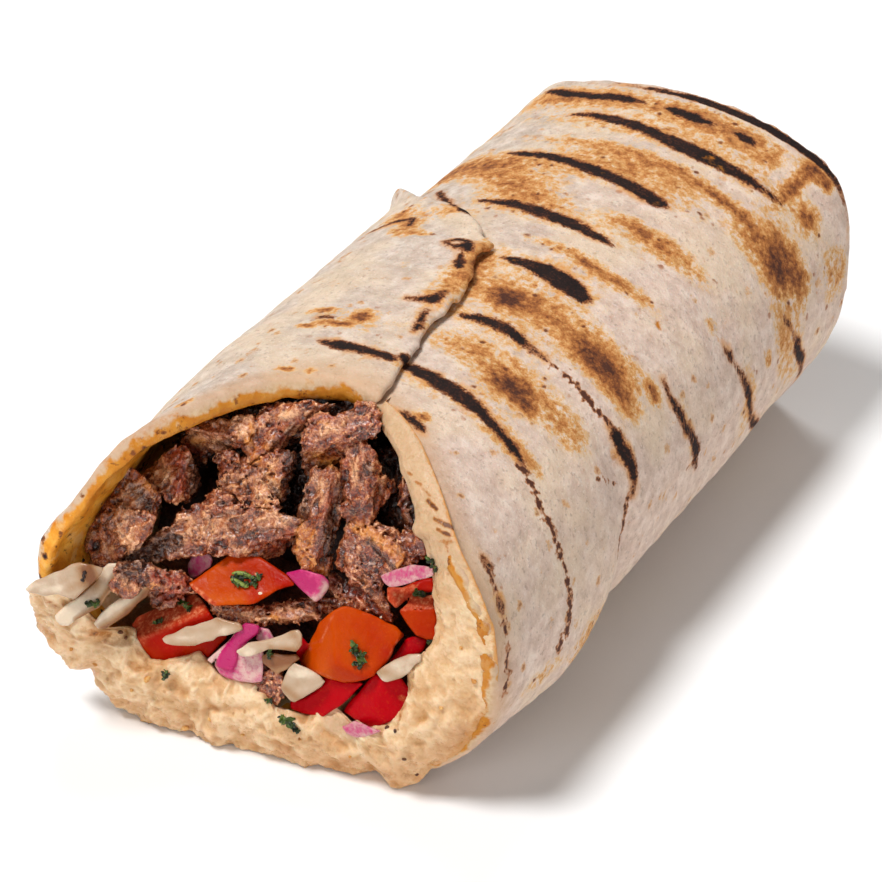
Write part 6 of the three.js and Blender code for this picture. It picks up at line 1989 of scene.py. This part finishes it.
def beef_material():
    shader = Shader("beef")
    grain = shader.noise(0.6, 4, 0.7)
    fine = shader.noise(0.3, 3, 0.65)
    patch = shader.noise(3.4, 3, 0.55)
    # The colours follow the relief: darker in its hollows and paler on its peaks, painted shade and painted
    # light
    height = shader.math("MULTIPLY_ADD", shader.attribute("relief"), 0.38, 0.38)
    for layer, amount in ((grain, 1.1), (fine, 0.7), (patch, 0.7)):
        height = shader.vary(height, layer, amount)
    flesh = shader.colours(
        height,
        [
            (0.05, (26, 6, 2)),
            (0.3, (78, 24, 10)),
            (0.52, (132, 54, 26)),
            (0.74, (176, 94, 52)),
            (0.95, (232, 168, 118)),
        ],
    )
    pale = shader.colours(height, [(0.05, (82, 30, 12)), (0.4, (188, 108, 62)), (0.8, (240, 184, 134))])
    gold = shader.colours(height, [(0.05, (86, 28, 6)), (0.4, (176, 84, 22)), (0.85, (222, 146, 66))])
    red = shader.colours(height, [(0.05, (56, 9, 4)), (0.45, (140, 36, 18)), (0.9, (192, 88, 54))])
    dark = shader.colours(
        height, [(0.1, (18, 6, 2)), (0.45, (46, 18, 8)), (0.7, (92, 48, 28)), (0.95, (150, 106, 80))]
    )
    uneven = shader.math("MULTIPLY_ADD", patch, 0.9, -0.45)
    # Pieces that lie deep behind the mouth's plane are painted darker: painted shade
    sunk_shade = shader.ramp(shader.attribute("out"), -1.8, -4.0, 0.0, 0.9)
    colour = flesh
    # The strokes' colours, among them painted light in the pale ones and painted shade in the dark ones
    for name, over in (("pale", pale), ("red", red), ("gold", gold), ("dark", dark)):
        share = shader.attribute(name)
        share = shader.math("MULTIPLY_ADD", uneven, shader.ramp(share, 0.02, 0.3), share)
        colour = shader.blend(shader.ramp(share, 0.15, 0.85, 0.0, 0.9), colour, over)
    # Fine dark lines painted as shade in the cracks between the fibres, and pale curly lines painted as
    # glints: painted highlights
    crack_shade = shader.math("ABSOLUTE", shader.math("SUBTRACT", shader.noise(3.0, 3, 0.55), 0.5))
    colour = shader.blend(shader.ramp(crack_shade, 0.035, 0.0, 0.0, 0.6), colour, (54, 18, 8))
    curl = shader.math("ABSOLUTE", shader.math("SUBTRACT", shader.noise(2.2, 3, 0.55, 0.6), 0.5))
    colour = shader.blend(shader.ramp(curl, 0.026, 0.004, 0.0, 0.3), colour, (228, 174, 136))
    # Painted shade: darker on the sides and backs of the pieces, behind their own fronts, and on the pieces
    # that lie deep
    shade = shader.math("MAXIMUM", sunk_shade, shader.product(shader.attribute("deep"), 0.85))
    painted_shade_colour = shader.colours(height, [(0.2, (14, 4, 2)), (0.6, (42, 16, 8)), (0.9, (96, 48, 30))])
    colour = shader.blend(shade, colour, painted_shade_colour)
    rough = shader.ramp(shader.noise(0.9, 3, 0.6), 0.35, 0.65, 0.12, 0.4)
    normal = shader.bump(grain, 0.14)
    normal = shader.bump(fine, 0.03, normal)
    shader.put(shader.surface.inputs["Coat Normal"], shader.bump(grain, 0.12))
    return shader.finish(colour, rough, normal, Specular_IOR_Level=0.35, Coat_Weight=0.9, Coat_Roughness=0.12)


def tomato_material():
    shader = Shader("tomato")
    red, cut_and_highlight = shader.attributes("red", "cut_and_highlight")
    grain = shader.noise(0.5, 3, 0.6)
    tone = shader.vary(red, shader.noise(4.0, 3, 0.5), 0.6)
    flesh = shader.colours(
        tone, [(0.0, (192, 76, 4)), (0.3, (180, 54, 0)), (0.6, (164, 22, 0)), (0.95, (176, 0, 14))]
    )
    flesh = shader.blend(shader.ramp(grain, 0.55, 0.75, 0.0, 0.14), flesh, (226, 110, 30))
    # The cut flesh's paler colours, which also paint the highlights
    pulp = shader.noise(0.8, 4, 0.65)
    cut_and_highlight_colour = shader.colours(pulp, [(0.3, (156, 40, 18)), (0.5, (190, 76, 44)), (0.68, (224, 142, 100))])
    colour = shader.blend(shader.ramp(cut_and_highlight, 0.2, 0.75), flesh, cut_and_highlight_colour)
    rough = shader.ramp(shader.noise(1.2, 3, 0.6), 0.35, 0.7, 0.22, 0.5)
    normal = shader.bump(shader.noise(1.3, 3, 0.5), 0.12)
    normal = shader.bump(grain, 0.04, normal)
    return shader.finish(
        colour, rough, normal, Subsurface_Weight=0.03, Subsurface_Scale=0.001, Specular_IOR_Level=0.06
    )


def onion_material():
    shader = Shader("onion")
    streak = shader.noise(0.7, 4, 0.6, 0.4)
    tone = shader.vary(shader.attribute("purple"), streak, 1.7)
    tone = shader.vary(tone, shader.noise(3.0, 2, 0.5), 0.35)
    colour = shader.colours(
        tone,
        [
            (0.0, (212, 174, 164)),
            (0.25, (203, 143, 146)),
            (0.5, (192, 98, 124)),
            (0.75, (200, 56, 114)),
            (1.0, (180, 26, 96)),
        ],
    )
    normal = shader.bump(shader.noise(1.0, 3, 0.55), 0.12)
    rough = shader.ramp(streak, 0.3, 0.7, 0.24, 0.42)
    return shader.finish(
        colour, rough, normal, Subsurface_Weight=0.15, Subsurface_Scale=0.0015, Specular_IOR_Level=0.35
    )


def cabbage_material():
    shader = Shader("cabbage")
    tan, ribs = shader.attributes("tan", "ribs")
    broad = shader.noise(3.5, 3, 0.55)
    tone = shader.vary(shader.math("MULTIPLY_ADD", ribs, 0.16, tan), broad, 0.55, 0.22)
    colour = shader.colours(
        tone,
        [
            (0.0, (224, 204, 178)),
            (0.15, (192, 165, 138)),
            (0.35, (178, 146, 114)),
            (0.6, (162, 118, 78)),
            (0.9, (130, 78, 40)),
        ],
    )
    normal = shader.bump(shader.noise(0.9, 3, 0.6), 0.12)
    rough = shader.ramp(broad, 0.35, 0.65, 0.2, 0.42)
    return shader.finish(
        colour, rough, normal, Subsurface_Weight=0.15, Subsurface_Scale=0.0015, Specular_IOR_Level=0.4
    )


def hummus_material():
    shader = Shader("hummus")
    relief, calm, edge, turn = shader.attributes("relief", "smooth_part", "edge", "turn")
    broad = shader.noise(5.0, 3, 0.55)
    grain = shader.noise(0.8, 4, 0.6)
    # The paste's colour follows the relief: darker orange in its hollows and paler on its ridges, the paste's
    # own tones with painted shade and painted light
    height = shader.math("MULTIPLY_ADD", relief, 0.42, 0.5)
    height = shader.vary(shader.vary(height, grain, 0.5), broad, 0.5)
    paste = shader.colours(
        height,
        [(0.08, (172, 110, 52)), (0.32, (199, 148, 95)), (0.58, (217, 175, 128)), (0.85, (238, 208, 168))],
    )
    cream = shader.colours(height, [(0.3, (190, 150, 108)), (0.6, (206, 170, 132)), (0.85, (220, 192, 158))])
    # Darker golden colours for the painted shade on the lower edge
    lower_edge_shade = shader.colours(height, [(0.1, (150, 94, 40)), (0.45, (190, 134, 82)), (0.8, (216, 170, 122))])
    paste = shader.blend(shader.attribute("lower_edge_shade"), paste, lower_edge_shade)
    colour = shader.blend(shader.ramp(calm, 0.3, 0.7), paste, cream)
    # Painted shade in the creases
    colour = shader.blend(shader.product(shader.attribute("crease"), 0.6), colour, (190, 126, 60))

    # The toasted margin against the bread, on the right
    margin = shader.vary(shader.vary(edge, grain, 0.2), broad, 0.16)
    margin = shader.product(shader.ramp(margin, 0.12, 0.01), shader.ramp(turn, 318, 342, 0.25, 0.9))
    colour = shader.blend(margin, colour, (202, 138, 68))

    brown = shader.vary(shader.attribute("browned"), grain, 0.8)
    colour = shader.blend(shader.ramp(brown, 0.3, 0.6), colour, (176, 114, 54))
    colour = shader.blend(shader.ramp(brown, 0.55, 0.8), colour, (108, 60, 28))
    colour = shader.blend(shader.ramp(shader.spots(4.6), 0.1, 0.04, 0.0, 0.6), colour, (168, 110, 56))
    rough = shader.ramp(shader.noise(1.6, 3, 0.6), 0.35, 0.65, 0.24, 0.5)
    normal = shader.bump(grain, 0.26)
    normal = shader.bump(shader.noise(0.35, 2, 0.5), 0.06, normal)
    return shader.finish(
        colour, rough, normal, Subsurface_Weight=0.2, Subsurface_Scale=0.002, Specular_IOR_Level=0.35
    )


def core_material(name, stops):
    shader = Shader(name)
    grain = shader.noise(0.7, 4, 0.65)
    height = shader.math("MULTIPLY_ADD", shader.attribute("relief"), 0.3, grain)
    colour = shader.colours(height, stops)
    rough = shader.ramp(grain, 0.3, 0.7, 0.3, 0.6)
    return shader.finish(colour, rough, shader.bump(grain, 0.3), Specular_IOR_Level=0.4)


def parsley_material():
    shader = Shader("parsley")
    vein = shader.noise(0.5, 4, 0.6)
    tone = shader.math("MULTIPLY_ADD", shader.attribute("tone"), 0.4, shader.product(vein, 0.6))
    colour = shader.colours(
        tone, [(0.2, (14, 18, 6)), (0.42, (32, 44, 10)), (0.62, (66, 88, 18)), (0.9, (128, 144, 56))]
    )
    rough = shader.ramp(vein, 0.3, 0.7, 0.3, 0.55)
    return shader.finish(colour, rough, shader.bump(vein, 0.1), Specular_IOR_Level=0.5)


def crumb_material():
    shader = Shader("crumbs")
    grain = shader.noise(0.4, 3, 0.6)
    grainy = shader.math("MULTIPLY_ADD", grain, 0.4, 0.15)
    tone = shader.math("MULTIPLY_ADD", shader.attribute("tone"), 0.6, grainy)
    colour = shader.colours(
        tone,
        [
            (0.05, (250, 240, 220)),
            (0.3, (232, 196, 130)),
            (0.45, (206, 140, 66)),
            (0.7, (110, 62, 32)),
            (0.95, (38, 22, 16)),
        ],
    )
    return shader.finish(colour, 0.45, shader.bump(grain, 0.1), Specular_IOR_Level=0.4)


# ---- Building the pieces ----

build_bread(bread_material())
build_hummus(hummus_material())
build_beef(beef_material())
build_tomato(tomato_material())
build_onion(onion_material())
build_cabbage(cabbage_material())
# The beef run is coloured nearly black, darker than the beef in front: painted shade for the gaps in which it
# shows
beef_core = core_material("beef_core", [(0.3, (20, 9, 7)), (0.55, (44, 22, 16)), (0.85, (92, 54, 40))])
salad_core = core_material("salad_core", [(0.3, (52, 20, 10)), (0.55, (110, 52, 28)), (0.85, (170, 104, 60))])
build_core("beef_run", "beef_filling", CORE_SPLIT + GAP / 2, 60.0, beef_core, 61)
build_core("salad_run", "salad_filling", 0.0, CORE_SPLIT - GAP / 2, salad_core, 66)
surface = shown_surface()
build_parsley(surface, parsley_material())
build_crumbs(surface, crumb_material())


# ---- Floor, light and camera ----

FLOOR_HALF = 1.4  # in metres
AMBIENT = 0.15  # how much light the white surroundings give
BACKDROP = 1.0  # how bright they look

# Round lamps: (name, azimuth, elevation, diameter in metres, power in watts)
LAMPS = [
    ("key", -42, 67, 1.44, 188),
    ("back", 212, 56, 1.8, 64),
    ("side", 70, 9, 3.2, 60),
    ("front", -5, 22, 3.2, 58),
]
LAMP_DISTANCE = 4.8


def add_aimed(item, place, direction):
    """Adds a lamp or camera at a place, looking back along a direction."""
    item.location = place
    item.rotation_euler = Vector(direction).to_track_quat("Z", "Y").to_euler()
    bpy.context.scene.collection.objects.link(item)


def add_lamp(name, azimuth, elevation, diameter, power):
    data = bpy.data.lights.new(name, "AREA")
    data.shape = "DISK"
    data.size = diameter
    data.energy = power
    direction = sky_direction(azimuth, elevation)
    add_aimed(bpy.data.objects.new(name, data), direction * LAMP_DISTANCE, direction)


def add_floor():
    shader = Shader("floor")
    shade = shader.noise(60, 2)
    colour = shader.colours(shade, [(0.3, (247, 247, 247)), (0.7, (250, 250, 250))])
    material = shader.finish(colour, 0.9, Specular_IOR_Level=0.1)
    mesh = bpy.data.meshes.new("floor")
    corners = [(-1, -1), (1, -1), (1, 1), (-1, 1)]
    mesh.from_pydata([(x * FLOOR_HALF, y * FLOOR_HALF, 0) for x, y in corners], [], [(0, 1, 2, 3)])
    mesh.materials.append(material)
    floor = bpy.data.objects.new("floor", mesh)
    bpy.context.scene.collection.objects.link(floor)


def add_camera():
    data = bpy.data.cameras.new("camera")
    data.lens = LENS
    data.sensor_width = SENSOR_WIDTH
    camera = bpy.data.objects.new("camera", data)
    add_aimed(camera, CAMERA_PLACE * MM, sky_direction(CAMERA_AZIMUTH, CAMERA_ELEVATION))
    bpy.context.scene.camera = camera


def set_world():
    world = bpy.data.worlds.new("studio")
    bpy.context.scene.world = world
    world.use_nodes = True
    nodes = world.node_tree.nodes
    background = nodes["Background"]
    background.inputs["Color"].default_value = (1.0, 1.0, 1.0, 1.0)
    seen = nodes.new("ShaderNodeMath")
    seen.operation = "MULTIPLY_ADD"
    seen.inputs[1].default_value = BACKDROP - AMBIENT
    seen.inputs[2].default_value = AMBIENT
    path = nodes.new("ShaderNodeLightPath")
    world.node_tree.links.new(path.outputs["Is Camera Ray"], seen.inputs[0])
    world.node_tree.links.new(seen.outputs[0], background.inputs["Strength"])


add_floor()
add_camera()
set_world()
for lamp in LAMPS:
    add_lamp(*lamp)
bpy.context.scene.view_settings.view_transform = "Standard"
